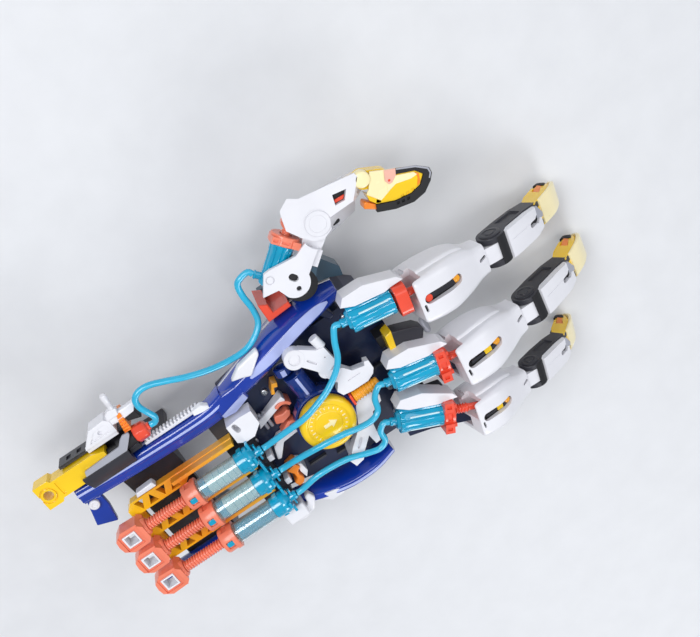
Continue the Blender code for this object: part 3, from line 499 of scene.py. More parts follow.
def hoses():
    """The four hoses, from the nozzles of the controls to the nozzles of the cylinders."""
    start = CONTROL_CAP_X + NOZZLE_X
    ends = {}
    for name, spec in FINGERS.items():
        px, py, pz = rod_pin_place(name)
        back = CYLINDER_FRONT + spec["stroke_out"] + CYLINDER_LENGTH
        yaw = math.radians(spec["cylinder_yaw"])
        ends[name] = [(px - (back + extra) * math.cos(yaw), py - (back + extra) * math.sin(yaw),
            pz) for extra in (3.5, 0.0)]
    rows, z = CONTROL_ROWS, CONTROL_Z
    hose("index_hose", [(start, rows["index"], z), (start + 4, rows["index"], z), (-22, 21.5, 72.5),
        (-7, 24.4, 76.5), (5, 28.4, 77.6), (14.4, 32.6, 77.8), (23, 38.6, 77.5), (28.5, 45, 76.8),
        (32.2, 54, 75.6)] + ends["index"], 90)
    hose("middle_hose", [(start, rows["middle"], z), (start + 4, rows["middle"], z), (-22, 2.4, 73),
        (-7, 3.6, 77.4), (6, 2.6, 78.3), (16.5, 0.2, 78.2), (24.8, -0.6, 77.4), (30.4, 2.0, 76.2),
        (33, 9.5, 75.2)] + ends["middle"], 90)
    hose("ring_hose", [(start, rows["ring"], z), (start + 4, rows["ring"], z), (-20, -16.2, 70),
        (-2, -17.8, 70), (10.5, -22.3, 70), (18.5, -24.4, 70), (23.8, -21.4, 70.4),
        (24.4, -14.4, 71)] + ends["ring"], 90)
    yaw = math.radians(THUMB_YAW)
    port = []
    for out in (14.5, 11.3):
        x, y = -2.5, THUMB_CYLINDER_Y + out
        port.append((THUMB_BASE[0] + x * math.cos(yaw) - y * math.sin(yaw),
            THUMB_BASE[1] + x * math.sin(yaw) + y * math.cos(yaw), THUMB_BASE[2]))
    y, zt = THUMB_CONTROL_Y, THUMB_CONTROL_Z
    hose("thumb_hose", [(-80.7, y, zt), (-77.4, y, zt + 0.2), (-75.4, y + 3.4, 63), (-76.6, 77, 65.2),
        (-77.8, 83, 66.4), (-76.4, 88, 67), (-72.2, 90.4, 67), (-66, 90.2, 67), (-58, 86.8, 66.4),
        (-48, 81.6, 65.2), (-36, 76.2, 62.4), (-24, 73, 60), (-13, 72, 58), (-4.5, 74.8, 56.4),
        (2, 80.5, 55), (3.8, 89, 54), (3.5, 99, 54), (5.5, 107, 55.5)] + port, 150)


# ---------------------------------------------------------------- frame of the arm

FACETED = [(-0.8, -1.0), (0.8, -1.0), (1.0, -0.7), (1.0, 0.1), (0.72, 0.66), (0.42, 0.96), (0.3, 1.0),
    (-0.3, 1.0), (-0.44, 0.94), (-0.86, 0.4), (-1.0, 0.1), (-1.0, -0.7)]


def rails():
    """Both long rails, with the shells, saddle and rack end they carry, and light blue strips painted on them
    as highlights.
    """
    stations = [(-140, 52.5, RAIL_Z, 6.0, 5.0, 2.5), (-100, 50.2, RAIL_Z, 6.0, 5.0, 2.5),
        (-56, 49.5, RAIL_Z, 6.2, 5.5, 2.5), (-38, 53.0, RAIL_Z, 7.0, 7.0, 3.5),
        (-16, 58.5, RAIL_Z - 1, 8.5, 10.0, 5.5), (4, 64.5, RAIL_Z - 2, 9.0, 13.0, 7.0),
        (20, 68.6, RAIL_Z - 3, 8.5, 14.0, 7.0), (34, 69.8, RAIL_Z - 5, 7.5, 13.0, 6.5),
        (49, 69.0, RAIL_Z - 8, 5.0, 8.5, 4.0)]
    stepped = [(-1.0, -1.0), (1.0, -1.0), (1.0, 0.55), (0.9, 0.82), (0.7, 0.95), (0.2, 1.0), (0.0, 1.0),
        (-0.12, 0.86), (-0.2, 0.8), (-0.62, 0.8), (-0.74, 0.72), (-0.8, 0.5), (-1.0, 0.46)]
    straight = [s for s in stations if s[0] <= -38]
    piece("radial_rail_bar", swept(straight, 4, stepped), BLUE, replaced=("radial_rail",))
    # painted highlight: a thin raised strip in light blue along the rail's top
    highlight_ridge = [(x, y + 0.30 * w, z + h - 0.1, 0.75, 0.35, 0.3) for x, y, z, w, h, r in straight]
    piece("radial_rail_highlight_ridge", swept(highlight_ridge, 4), HIGHLIGHT_BLUE, 0.1)
    piece("radial_shell", swept([s for s in stations if s[0] >= -38], 8, FACETED), BLUE, 0.9)
    # painted highlight: a light blue strip along the top of the shell, where the broad reflection lies
    highlight = [(-20, 57.6, 63.3, 0.5, 0.3, 0.2), (-12, 60.2, 64.2, 2.6, 0.45, 0.3), (2, 64.0, 66.0, 3.2, 0.45,
        0.3), (16, 68.0, 66.2, 3.4, 0.45, 0.3), (27, 69.9, 64.9, 3.2, 0.45, 0.3), (35, 70.3, 62.9, 2.6,
        0.45, 0.3), (41, 70.0, 60.6, 0.6, 0.4, 0.2)]
    piece("radial_shell_highlight", swept(highlight, 8), HIGHLIGHT_BLUE, 0.1)
    lip = [(x, y + w * 0.98, z - h * 0.35, 0.55, h * 0.12, 0.4) for x, y, z, w, h,
        r in stations if x >= -38]
    piece("radial_shell_edge", swept(lip, 8), WHITE, 0.1)
    seam = [(x, y - w * 0.55, z + h * 0.76, 0.5, 0.35, 0.2) for x, y, z, w, h, r in stations if x >= -16]
    piece("radial_shell_seam", swept(seam, 8), DEEP, 0.1)
    piece("shell_wedge", prism([(-29, 63.6), (-21, 69.2), (-6.5, 72.0), (-7.0, 68.6), (-17.7, 59.8),
        (-22.6, 62.0)], 60.5, 66.6), WHITE, 1.3)
    piece("rail_saddle", skin([[(-46, 43.6, 54), (-46, 55.6, 54), (-46, 55.0, 60.9), (-46, 47.0, 61.6),
        (-46, 43.6, 58.5)], [(-38, 43.2, 54), (-38, 59.6, 54), (-38, 58.4, 62.4), (-38, 50.0, 63.2),
        (-38, 43.2, 59.5)], [(-27, 46.0, 54), (-27, 60.0, 54), (-27, 59.0, 62.6), (-27, 53.0, 63.6),
        (-27, 46.0, 57.0)]]), BLUE, 1.0)
    # painted highlight: a light blue strip along the saddle's top edge
    piece("rail_saddle_highlight", skin([[(-45.6, 44.4, 59.0), (-45.6, 47.2, 61.3), (-45.6, 47.2, 61.9),
        (-45.6, 44.2, 59.6)], [(-38, 44.2, 60.2), (-38, 50.0, 62.9), (-38, 50.0, 63.5), (-38, 43.9, 60.8)],
        [(-28, 46.8, 58.0), (-28, 52.6, 63.0), (-28, 52.6, 63.6), (-28, 46.4, 58.6)]]), HIGHLIGHT_BLUE, 0.1)
    piece("rack_end", skin([[(-58.5, 56.2, 56), (-58.5, 59.4, 56), (-58.5, 59.0, 59.4),
        (-58.5, 56.2, 60.4)], [(-52, 56.0, 56), (-52, 60.4, 56), (-52, 59.8, 60.0), (-52, 55.6, 61.4)],
        [(-48.4, 55.6, 56), (-48.4, 57.0, 56), (-48.4, 56.8, 59.6), (-48.4, 55.4, 60.6)]]), WHITE, 0.5)
    stations = [(-136, -30.5, RAIL_Z - 6, 4.5, 4.5, 2.0), (-60, -30.5, RAIL_Z - 6, 4.5, 4.5, 2.0),
        (-44, -33.5, RAIL_Z - 6, 4.8, 5.5, 2.2), (-26, -39.0, RAIL_Z - 6, 5.2, 8.0, 3.0),
        (-8, -42.6, RAIL_Z - 7, 5.5, 10.0, 3.5), (10, -43.0, RAIL_Z - 8, 5.0, 10.0, 3.0),
        (24, -40.8, RAIL_Z - 9, 4.0, 8.0, 2.5),]
    piece("ulnar_rail_shell", swept(stations, 6, FACETED), BLUE, 0.6, replaced=("ulnar_rail",))
    edge = [(x, y - w * 0.96, z + h * 0.30, 0.5, h * 0.20, 0.35) for x, y, z, w, h,
        r in stations if x >= -44]
    piece("ulnar_shell_edge", swept(edge, 6), WHITE, 0.1)
    # painted highlight: a light blue strip along the top of the ulnar shell
    highlight = [(x, y - w * 0.1, z + h * 0.99, w * 0.16, 0.35, 0.2) for x, y, z, w, h,
        r in stations if x >= -26]
    piece("ulnar_shell_highlight", swept(highlight, 6), HIGHLIGHT_BLUE, 0.1)
    piece("ulnar_horn", skin([[(-30, -44.6, 48), (-30, -38.0, 48), (-30, -37.4, 54.6), (-30, -43.6, 53.4)],
        [(-24, -47.0, 48), (-24, -38.6, 48), (-24, -37.6, 59.0), (-24, -45.6, 56.6)], [(-15, -47.6, 48),
        (-15, -41.0, 48), (-15, -40.4, 57.6), (-15, -46.0, 56.2)]]), WHITE, 0.9)
    piece("ulnar_hook", prism([(-53.7, -35.2), (-51.5, -41.6), (-44.0, -43.4), (-35.6, -40.6),
        (-31.6, -33.8), (-33.6, -28.6), (-36.8, -29.6), (-37.4, -34.6), (-42.0, -37.6), (-48.2, -36.6)],
        55.5, 61.0), WHITE, 1.2)


def guide_plastic():
    """Yellow at the rear of the truss strips, orange along the syringes."""
    material = plastic("guide_plastic", (0.9, 0.4, 0.02), 0.28, 0.4, 0.08)
    nodes, links = material.node_tree.nodes, material.node_tree.links
    shader = nodes["Principled BSDF"]
    place = nodes.new("ShaderNodeTexCoord")
    split = nodes.new("ShaderNodeSeparateXYZ")
    links.new(place.outputs["Object"], split.inputs["Vector"])
    along = nodes.new("ShaderNodeMapRange")
    along.inputs["From Min"].default_value = -0.125
    along.inputs["From Max"].default_value = -0.047
    links.new(split.outputs["X"], along.inputs["Value"])
    ramp = nodes.new("ShaderNodeValToRGB")
    ramp.color_ramp.elements[0].color = (0.92, 0.58, 0.01, 1)
    ramp.color_ramp.elements[1].color = (0.92, 0.50, 0.03, 1)
    middle_stop = ramp.color_ramp.elements.new(0.5)
    middle_stop.color = (0.84, 0.24, 0.015, 1)
    links.new(along.outputs["Result"], ramp.inputs["Fac"])
    links.new(ramp.outputs["Color"], shader.inputs["Base Color"])
    return material


def structure():
    """The parts of the frame that keep their CAD shape."""
    keep("palm_chassis", NAVY, 0.6)
    keep("rail_rack", WHITE, 0.2, 2)
    keep("crossbar", GREY, 0.5)
    keep("thumb_side_block", WHITE, 1.4)
    keep("little_side_block", WHITE, 1.2)
    keep("arm_cuff", GREY, 0.8)
    keep("thumb_mount", SLATE, 0.6)
    keep("thumb_bracket", RED, 0.8)
    keep("finger_guides", guide_plastic(), 0.35)
    keep("knob_seat", DEEP, 0.5)
    for name in FINGERS:
        keep(f"{name}_cylinder_cradle", WHITE, 1.3)


def braces():
    """The white arms round the knob, over the deck."""
    low, high = 66.4, 73.0
    arm = prism([(13.0, 60.6), (20.6, 54.4), (25.2, 53.4), (26.8, 41.5), (18.0, 38.0), (8.6, 50.7)], low,
        high)
    boss = turned([(low, 6.2), (high - 0.2, 6.2), (high + 0.2, 5.8), (high + 0.2, 3.6), (high - 0.9, 3.2),
        (high - 0.9, 0.4)], (7.7, 56.6, 0), (0, 0, 1), 56)
    stub = rod((24.2, 53.0, 69.6), (22.8, 60.6, 69.6), 2.9, 32)
    hook = prism([(19, 39.6), (27.4, 35.6), (31.0, 30.8), (38.4, 29.0), (39.4, 31.4), (41.9, 30.6),
        (42.0, 24.6), (40.0, 21.8), (35.4, 19.5), (24.9, 19.6), (19.0, 20.6), (17.2, 24.6), (20.4, 29.4),
        (16.8, 35.6)], low, high - 0.8)
    post = rod((18.6, 39, DECK_TOP + 0.3), (18.6, 39, high - 2), 4.5, 40)
    arm = unite(arm, boss, stub, hook, post)
    piece("brace_upper", cut(arm, prism(capsule((13.6, 51.6), (16.4, 47.6), 0.75, 0.75, 6), high - 1.5,
        high + 2), rod((22.7, 47.8, high - 1.2), (22.7, 47.8, high + 2), 0.55, 20), box((26.0, 34.0),
        (26.6, 27.2), (high - 1.4, high + 2))), WHITE, 0.9, replaced=("brace_arms",))
    lower = prism([(20.6, 5.4), (24.0, 9.0), (33.6, 9.2), (36.0, 3.4), (34.9, -0.6), (27.1, -3.8),
        (23.2, -11.3), (21.5, -23), (18.2, -23.4), (17.2, -16.0), (8.6, -24.6), (6.3, -28.0), (0.6, -29.2),
        (-1.0, -24.0), (5.2, -16.8), (14.8, -7.6)], 58, 64.6)
    posts = [rod((x, y, DECK_TOP + 0.3), (x, y, 60), 3.6, 32) for x, y in ((3.4, -25), (29, 3.4))]
    piece("brace_lower", cut(unite(lower, *posts), prism(capsule((12.4, -14.6), (8.0, -19.2), 0.85, 0.85,
        6), 62.8, 68)), WHITE, 0.9)
    piece("roller", turned([(22.6, 2.2), (22.9, 3.2)] + ribbed(23.0, 39.4, 3.15, 3.75, 1.9)[1:] + [(40.2,
        2.4)], (0, 13.8, 68.3), (1, 0, 0)), GOLD, 0.1)
    piece("roller_stand", prism([(25, 46.3), (39, 46.3), (37.6, 64.4), (26.4, 64.4)], 11.2, 16.4, "Y"),
        BLACK, 0.6)
    piece("roller_stop", prism([(20.9, 10.4), (22.4, 9.6), (22.4, 17.6), (20.9, 16.8)], 64.8, 71.4), RED,
        0.4)


def block(name, outline, low, high, band, grip):
    """A dark block on a stand, with a yellow band round its rear."""
    piece(f"{name}_block", prism(outline, low, high), GREY, 0.7)
    piece(f"{name}_band", prism(band, low - 0.5, high + 0.7), YELLOW)
    piece(f"{name}_stand", prism(grip, DECK_TOP + 0.3, low - 0.05), BLACK, 0.5)


def deck_details():
    """Struts, clips, hooks, ribs and pegs that stand on the deck."""
    block("index_side", [(60.2, 37.0), (57.4, 24.0), (74.9, 21.6), (78.6, 27.2), (75.4, 31.2),
        (65.1, 35.4)], 60, 71, [(57.0, 36.6), (55.2, 24.6), (58.6, 23.5), (61.8, 38.0)],
        [(52, 33), (52, 25), (61, 25), (61, 33)])
    piece("index_side_hub", turned([(0, 4.6), (1.0, 5.2), (2.0, 5.2), (2.6, 4.6)], (79.4, 24.6, 62.5),
        (1, 0.1, 0.3), 40), PALE_GREY, 0.15)
    block("middle_side", [(57.0, -10.6), (70.4, -14.0), (71.0, -18.4), (54.5, -16.0)], 57, 66,
        [(52.6, -9.8), (57.0, -10.2), (57.4, -16.8), (53.4, -16.4)], [(52, -15.6), (52, -11), (61, -11),
        (61, -15.6)])
    piece("deck_clip", prism([(-16.4, 38.6), (-12.6, 44.6), (-9.4, 43.4), (-10.6, 40.6), (-12.6, 41.6),
        (-14.2, 37.6)], DECK_BASE, 57), GOLD, 0.5)
    piece("deck_strut", skin([[(-34.5, 21.0, 46.4), (-32.5, 26.6, 46.4), (-32.5, 26.6, 52.0),
        (-34.5, 21.0, 52.0)], [(-11.4, 31.0, 46.4), (-12.4, 34.6, 46.4), (-12.4, 34.6, 57.6),
        (-11.4, 31.0, 57.6)]]), WHITE, 0.7)
    plates = (
        ("deck_wedge", WHITE, 0.6, DECK_BASE, 56, [(-34.0, 7.6), (-36.4, -0.4), (-34.0, -1.0), (-27.2, 7.4),
            (-16.6, 8.4), (-16.6, 11.0), (-28.9, 11.2)]),
        ("deck_bow", SALMON, 0.4, DECK_BASE, 58,
            arc(-15.4, 25.4, 6.4, 20, 130, 10) + arc(-15.4, 25.4, 4.4, 130, 20, 10)),
        ("deck_hook", SALMON, 0.6, DECK_BASE, 55, [(-24.0, 22.6), (-22.8, 24.6), (-17.8, 23.2), (-14.6, 24.0),
            (-13.0, 22.4), (-14.6, 19.6), (-20.6, 18.0), (-24.6, 19.6)]),
        ("deck_lever", SALMON, 0.4, DECK_BASE, 54, [(-24.6, 10.8), (-18.0, 14.2), (-14.6, 13.6),
            (-14.2, 15.6), (-18.4, 16.4), (-25.4, 12.8)]),
        ("deck_latch", ORANGE, 0.6, DECK_BASE, 60, [(-36.0, -8.6), (-29.6, -7.2), (-27.6, -10.4),
            (-30.6, -12.6), (-30.8, -15.4), (-29.6, -18.6), (-31.4, -21.0), (-35.0, -21.6),
            (-36.2, -18.0), (-33.2, -16.4), (-33.2, -12.6)]),
        ("deck_latch_cheek", WHITE, 0.5, DECK_BASE, 58, [(-29.0, -8.6), (-26.4, -10.4), (-25.6, -16.6),
            (-28.4, -20.4), (-29.0, -18.0), (-29.6, -14.6)]),
    )
    for name, material, width, low, high, outline in plates:
        piece(name, prism(outline, low, high), material, width)
    for index, y in enumerate((8.2, -11.4)):
        piece(f"peg_seat_{index}", prism([(-50, y - 2.6), (-40.5, y - 2.6), (-40.5, y + 2.2),
            (-50, y + 2.2)], 53.9, 61.5), GREY, 0.5)
        piece(f"peg_{index}", prism([(-40.1, y - 3.6), (-36.4, y - 3.6), (-36.4, y + 0.4),
            (-40.1, y + 0.4)], DECK_BASE, 62.0), WHITE, 0.5)
    ribs = ((-8, 47.2, 9), (2, 50.5, 8), (36, 46, 14), (40, 12, 13), (38, -20, 14), (-24, -20, 12),
        (-6, -24, 8))
    for index, (x, y, length) in enumerate(ribs):
        piece(f"deck_rib_{index}", box((x, x + length), (y - 0.7, y + 0.7), (DECK_BASE, 49.6)), GREY, 0.3)
    for index, (x, y) in enumerate(((-20, 38), (44, 50), (52, 4), (52, -34), (-42, 14), (20, -29), (44, -6))):
        screw_head(f"deck_screw_{index}", (x, y, 47.4), (0, 0, 1), 2.1, "root")
    pins = [rod((x, 17.6, 49.5), (x, 29.5, 49.5), 1.1, 20) for x in (-30.5, -27.5)]
    piece("deck_pins", gather(*pins), PALE_GREY, 0.2)
    piece("hose_ring", cut(turned([(-2.8, 4.4), (-2.4, 4.9), (2.4, 4.9), (2.8, 4.4)], (-3.0, 47.6, 55.5),
        (0.1, 1, 0)), rod((-3.6, 42, 55.5), (-2.4, 53, 55.5), 2.6)), DEEP, 0.2)
    # painted highlight: a light blue patch on the top of the hose ring
    piece("hose_ring_highlight", prism([(-4.6, 45.6), (-1.6, 45.4), (-1.2, 49.2), (-4.2, 49.4)], 60.0, 60.7),
        HIGHLIGHT_BLUE, 0.2)
    piece("hose_ring_foot", box((-6.2, 0.2), (45.6, 49.6), (DECK_BASE, 51.4)), GREY, 0.5)
    # painted highlight: a light blue stripe along the top of the seat tube
    piece("seat_tube_stripe", prism([(0.4, 41.4), (2.2, 41.4), (3.0, 24.0), (1.2, 24.0)], 62.3, 62.9),
        HIGHLIGHT_BLUE, 0.15)
    piece("seat_rim", cut(turned([(65.2, 17.8), (65.7, 18.2), (66.1, 17.8)], (KNOB_X, KNOB_Y, 0), (0, 0, 1),
        80), rod((KNOB_X, KNOB_Y, 60), (KNOB_X, KNOB_Y, 70), 17.25, 80)), DEEP, 0.08)
    piece("deck_cheek", prism([(29.6, 68.0), (33.0, 70.0), (38.0, 64.0), (40.0, 58.0), (36.4, 57.0),
        (33.0, 62.0)], DECK_BASE, 55), NAVY, 0.8)


def knob():
    """The tension knob's dial and the marks pressed into it."""
    profile = [(63.3, 6), (65.8, 6), (65.8, KNOB_R - 1.5), (66.4, KNOB_R - 0.4), (67.5, KNOB_R),
        (71.0, KNOB_R), (72.6, KNOB_R - 0.4), (73.6, KNOB_R - 1.3), (KNOB_TOP, KNOB_R - 2.6),
        (KNOB_TOP, 13.2), (73.7, 12.7), (73.2, 12.3), (73.0, 11.6), (73.0, 8.6), (73.4, 8.2), (73.6, 7.6),
        (73.6, 0.8)]
    piece("tension_knob_dial", turned(profile, (KNOB_X, KNOB_Y, 0), (0, 0, 1), 96), YELLOW, 0.15,
        body="knob", replaced=("tension_knob",))
    marks = []
    for i in range(24):
        a = 2 * math.pi * i / 24
        long_mark = i % 6 == 0
        mark = box((9.2 if long_mark else 9.9, 11.2), (-0.3, 0.3), (72.9, 73.5))
        mark.data.transform(Matrix.Translation((KNOB_X * MM, KNOB_Y * MM, 0)) @ Matrix.Rotation(a, 4, "Z"))
        marks.append(mark)
    arrow = prism([(-3.2, -1.1), (1.2, -1.1), (1.2, -2.9), (5.4, 0), (1.2, 2.9), (1.2, 1.1), (-3.2, 1.1)],
        73.5, 73.95)
    arrow.data.transform(Matrix.Translation((KNOB_X * MM, KNOB_Y * MM, 0)))
    piece("tension_knob_marks", gather(arrow, *marks), CREAM, 0.08, body="knob", segments=2)


# ---------------------------------------------------------------- control syringes

def ribbed(start, end, low, high, pitch):
    """Profile of a rod with rounded ribs."""
    profile = [(start, low)]
    count = int(abs(end - start) / pitch)
    sign = 1 if end > start else -1
    for i in range(count):
        x = start + sign * i * pitch
        profile += [(x + sign * pitch * 0.18, high * 0.97), (x + sign * pitch * 0.32, high),
            (x + sign * pitch * 0.5, high * 0.97), (x + sign * pitch * 0.68, low), (x + sign * pitch * 0.98,
            low)]
    profile.append((end, low))
    return profile


def syringe(name, row, body, full):
    """Cap, clear barrel, water, piston and collar of one control syringe."""
    cap_x, z = CONTROL_CAP_X, CONTROL_Z
    at = Matrix.Translation((0, row * MM, z * MM))
    cap = turned([(cap_x + 7, 1.9), (cap_x + 7, 2.4), (cap_x + 5.6, 2.9), (cap_x + 4.6, 2.5),
        (cap_x + 2.4, 2.6), (cap_x + 2.2, 4.6), (cap_x + 1.2, 5.6), (cap_x - 0.2, 7.0), (cap_x - 0.8, 7.3),
        (cap_x - 2.8, 7.3), (cap_x - 3.2, 6.9), (cap_x - 9.0, 6.8), (cap_x - 9.2, 6.5)])
    wings = [prism([(cap_x + 0.6, -9.4), (cap_x + 2.2, -9.4), (cap_x + 2.2, 9.4), (cap_x + 0.6, 9.4)], -2.0,
        2.0), prism([(cap_x + 3.6, -5.4), (cap_x + 4.6, -5.4), (cap_x + 4.6, 5.4), (cap_x + 3.6, 5.4)],
        -1.4, 1.4), box((cap_x + 0.6, cap_x + 2.2), (-2.0, 2.0), (-8.2, 8.2)),
        prism([(cap_x - 6.2, -7.6), (cap_x - 3.2, -7.9), (cap_x - 3.2, 7.9), (cap_x - 6.2, 7.6)], -2.4,
        2.4)]
    window = box((cap_x - 7.6, cap_x - 4.0), (-1.9, 1.9), (6.2, 12))
    piece(f"{name}_control_cap", cut(unite(cap, *wings), window), CYAN, 0.3, body=body, place=at)
    piece(f"{name}_control_tube", pipe(cap_x - 9.3, -82.0, 6.5, 5.75), CLEAR, 0.0, body=body, place=at,
        replaced=(f"{name}_control_barrel",))
    split = cap_x - 9.4 if full else -75.0
    piece(f"{name}_control_water", pipe(split - 0.1, -79.2, 5.7, 5.3), WATER, 0, body=body, place=at)
    if not full:
        piece(f"{name}_control_chamber", pipe(cap_x - 9.4, split, 5.7, 5.3), PALE_WATER_AND_HIGHLIGHT, 0, body=body,
            place=at, slot="clear_barrel")
    marks = [pipe(x + 0.35, x, 5.74, 5.35) for x in (-57.5, -61.5, -65.5, -69.5)]
    piece(f"{name}_control_marks", gather(*marks), CYAN, 0, body=body, place=at)
    collar = turned([(-80.6, 7.4), (-81.4, 7.9), (-89.4, 7.9), (-90.2, 7.4)])
    bore = rod((-78, 0, 0), (-95, 0, 0), 4.6)
    slots = [box((-88.0, -83.5), (-2.6, 2.6), (6.4, 12)), box((-87.3, -84.2), (6.9, 12), (-3.0, 3.0))]
    flats = [box((-91, -80), (a * 7.4, a * 12), (-9, 9)) if a > 0 else box((-91, -80), (-12, -7.4),
        (-9, 9)) for a in (1, -1)]
    step = turned([(-80.8, 8.6), (-83.6, 8.6)])
    piece(f"{name}_control_collar", cut(unite(collar, step), bore, *slots, *flats), SALMON, 0.3, body=body,
        place=at)
    piece(f"{name}_control_inset", prism(capsule((-86.6, 0), (-84.9, 0), 1.7, 1.7), 6.3, 7.2), CYAN, 0.2,
        body=body, place=at)


def pipe(start, end, outer, inner):
    """An open tube along X with rounded lips."""
    lip = min(0.25, (outer - inner) / 3)
    profile = [(start, inner + lip), (start, outer - lip), (start - math.copysign(lip, start - end), outer),
        (end + math.copysign(lip, start - end), outer), (end, outer - lip), (end, inner + lip),
        (end + math.copysign(lip, start - end), inner), (start - math.copysign(lip, start - end), inner)]
    bm = bmesh.new()
    rings = []
    for x, r in profile:
        rings.append([bm.verts.new(Vector((x, r * math.cos(2 * math.pi * i / ROUND),
            r * math.sin(2 * math.pi * i / ROUND))) * MM) for i in range(ROUND)])
    rings.append(rings[0])
    for low, high in zip(rings, rings[1:]):
        for i in range(ROUND):
            j = (i + 1) % ROUND
            bm.faces.new((low[i], low[j], high[j], high[i]))
    return from_bmesh(bm)


def control_rod(name, row, z):
    """A ribbed rod with its piston, and the ring that draws it."""
    at = Matrix.Translation((0, row * MM, z * MM))
    shaft = turned([(-79.5, 2.2), (-84.5, 2.2)] + ribbed(-84.5, -119.5, 2.5, 3.5, 1.75)[1:])
    ring = prism([(-118.5, -4.4), (-121.4, -7.4), (-131.6, -7.8), (-136.4, -4.2), (-137, 0), (-136.4, 4.2),
        (-131.6, 7.8), (-121.4, 7.4), (-118.5, 4.4)], -6.5, 6.5)
    waist = [box((-140, -121), (-10, 10), (a, b)) for a, b in ((5.2, 9), (-9, -4.6))]
    neck = turned([(-121.5, 5.4), (-118.0, 5.4), (-117.2, 4.6)])
    ring = unite(cut(ring, *waist), neck)
    hole = prism([(-133.0, -4.3), (-124.2, -4.3), (-124.2, 4.3), (-133.0, 4.3)], -9, 9)
    chamfer = box((-134.4, -122.9), (-5.6, 5.6), (4.2, 9))
    ring = cut(ring, hole, chamfer)
    piece(f"{name}_control_shaft", unite(shaft, ring), SALMON, body=f"{name}_control", place=at,
        replaced=(f"{name}_control_rod",))
    piece(f"{name}_control_piston", turned([(-79.4, 4.0), (-79.6, 5.1), (-80.3, 5.1), (-80.6, 4.6),
        (-81.0, 4.6), (-81.3, 5.1), (-81.9, 5.1), (-82.2, 4.0)]), BLACK, 0.08, body=f"{name}_control",
        place=at)
    piece(f"{name}_control_ring_liner", cut(prism([(-132.9, -4.2), (-124.3, -4.2), (-124.3, 4.2),
        (-132.9, 4.2)], -4.2, 5.0), box((-131.8, -125.3), (-3.2, 3.2), (-9, 9))), WHITE, 0.25,
        body=f"{name}_control", place=at)


# ---------------------------------------------------------------- fingers

def finger_places(name):
    """Where one finger's three links stand: knuckle, middle joint and tip joint."""
    spec = FINGERS[name]
    s = spec["scale"]
    size = Matrix.Scale(s, 4)
    knuckle = turn_z(spec["knuckle"], spec["yaw"]) @ pitch_y(0, spec["bend"][0])
    middle = knuckle @ pitch_y(PROXIMAL * s, spec["bend"][1])
    tip = middle @ pitch_y(MIDDLE * s, spec["bend"][2])
    return knuckle @ size, middle @ size, tip @ size


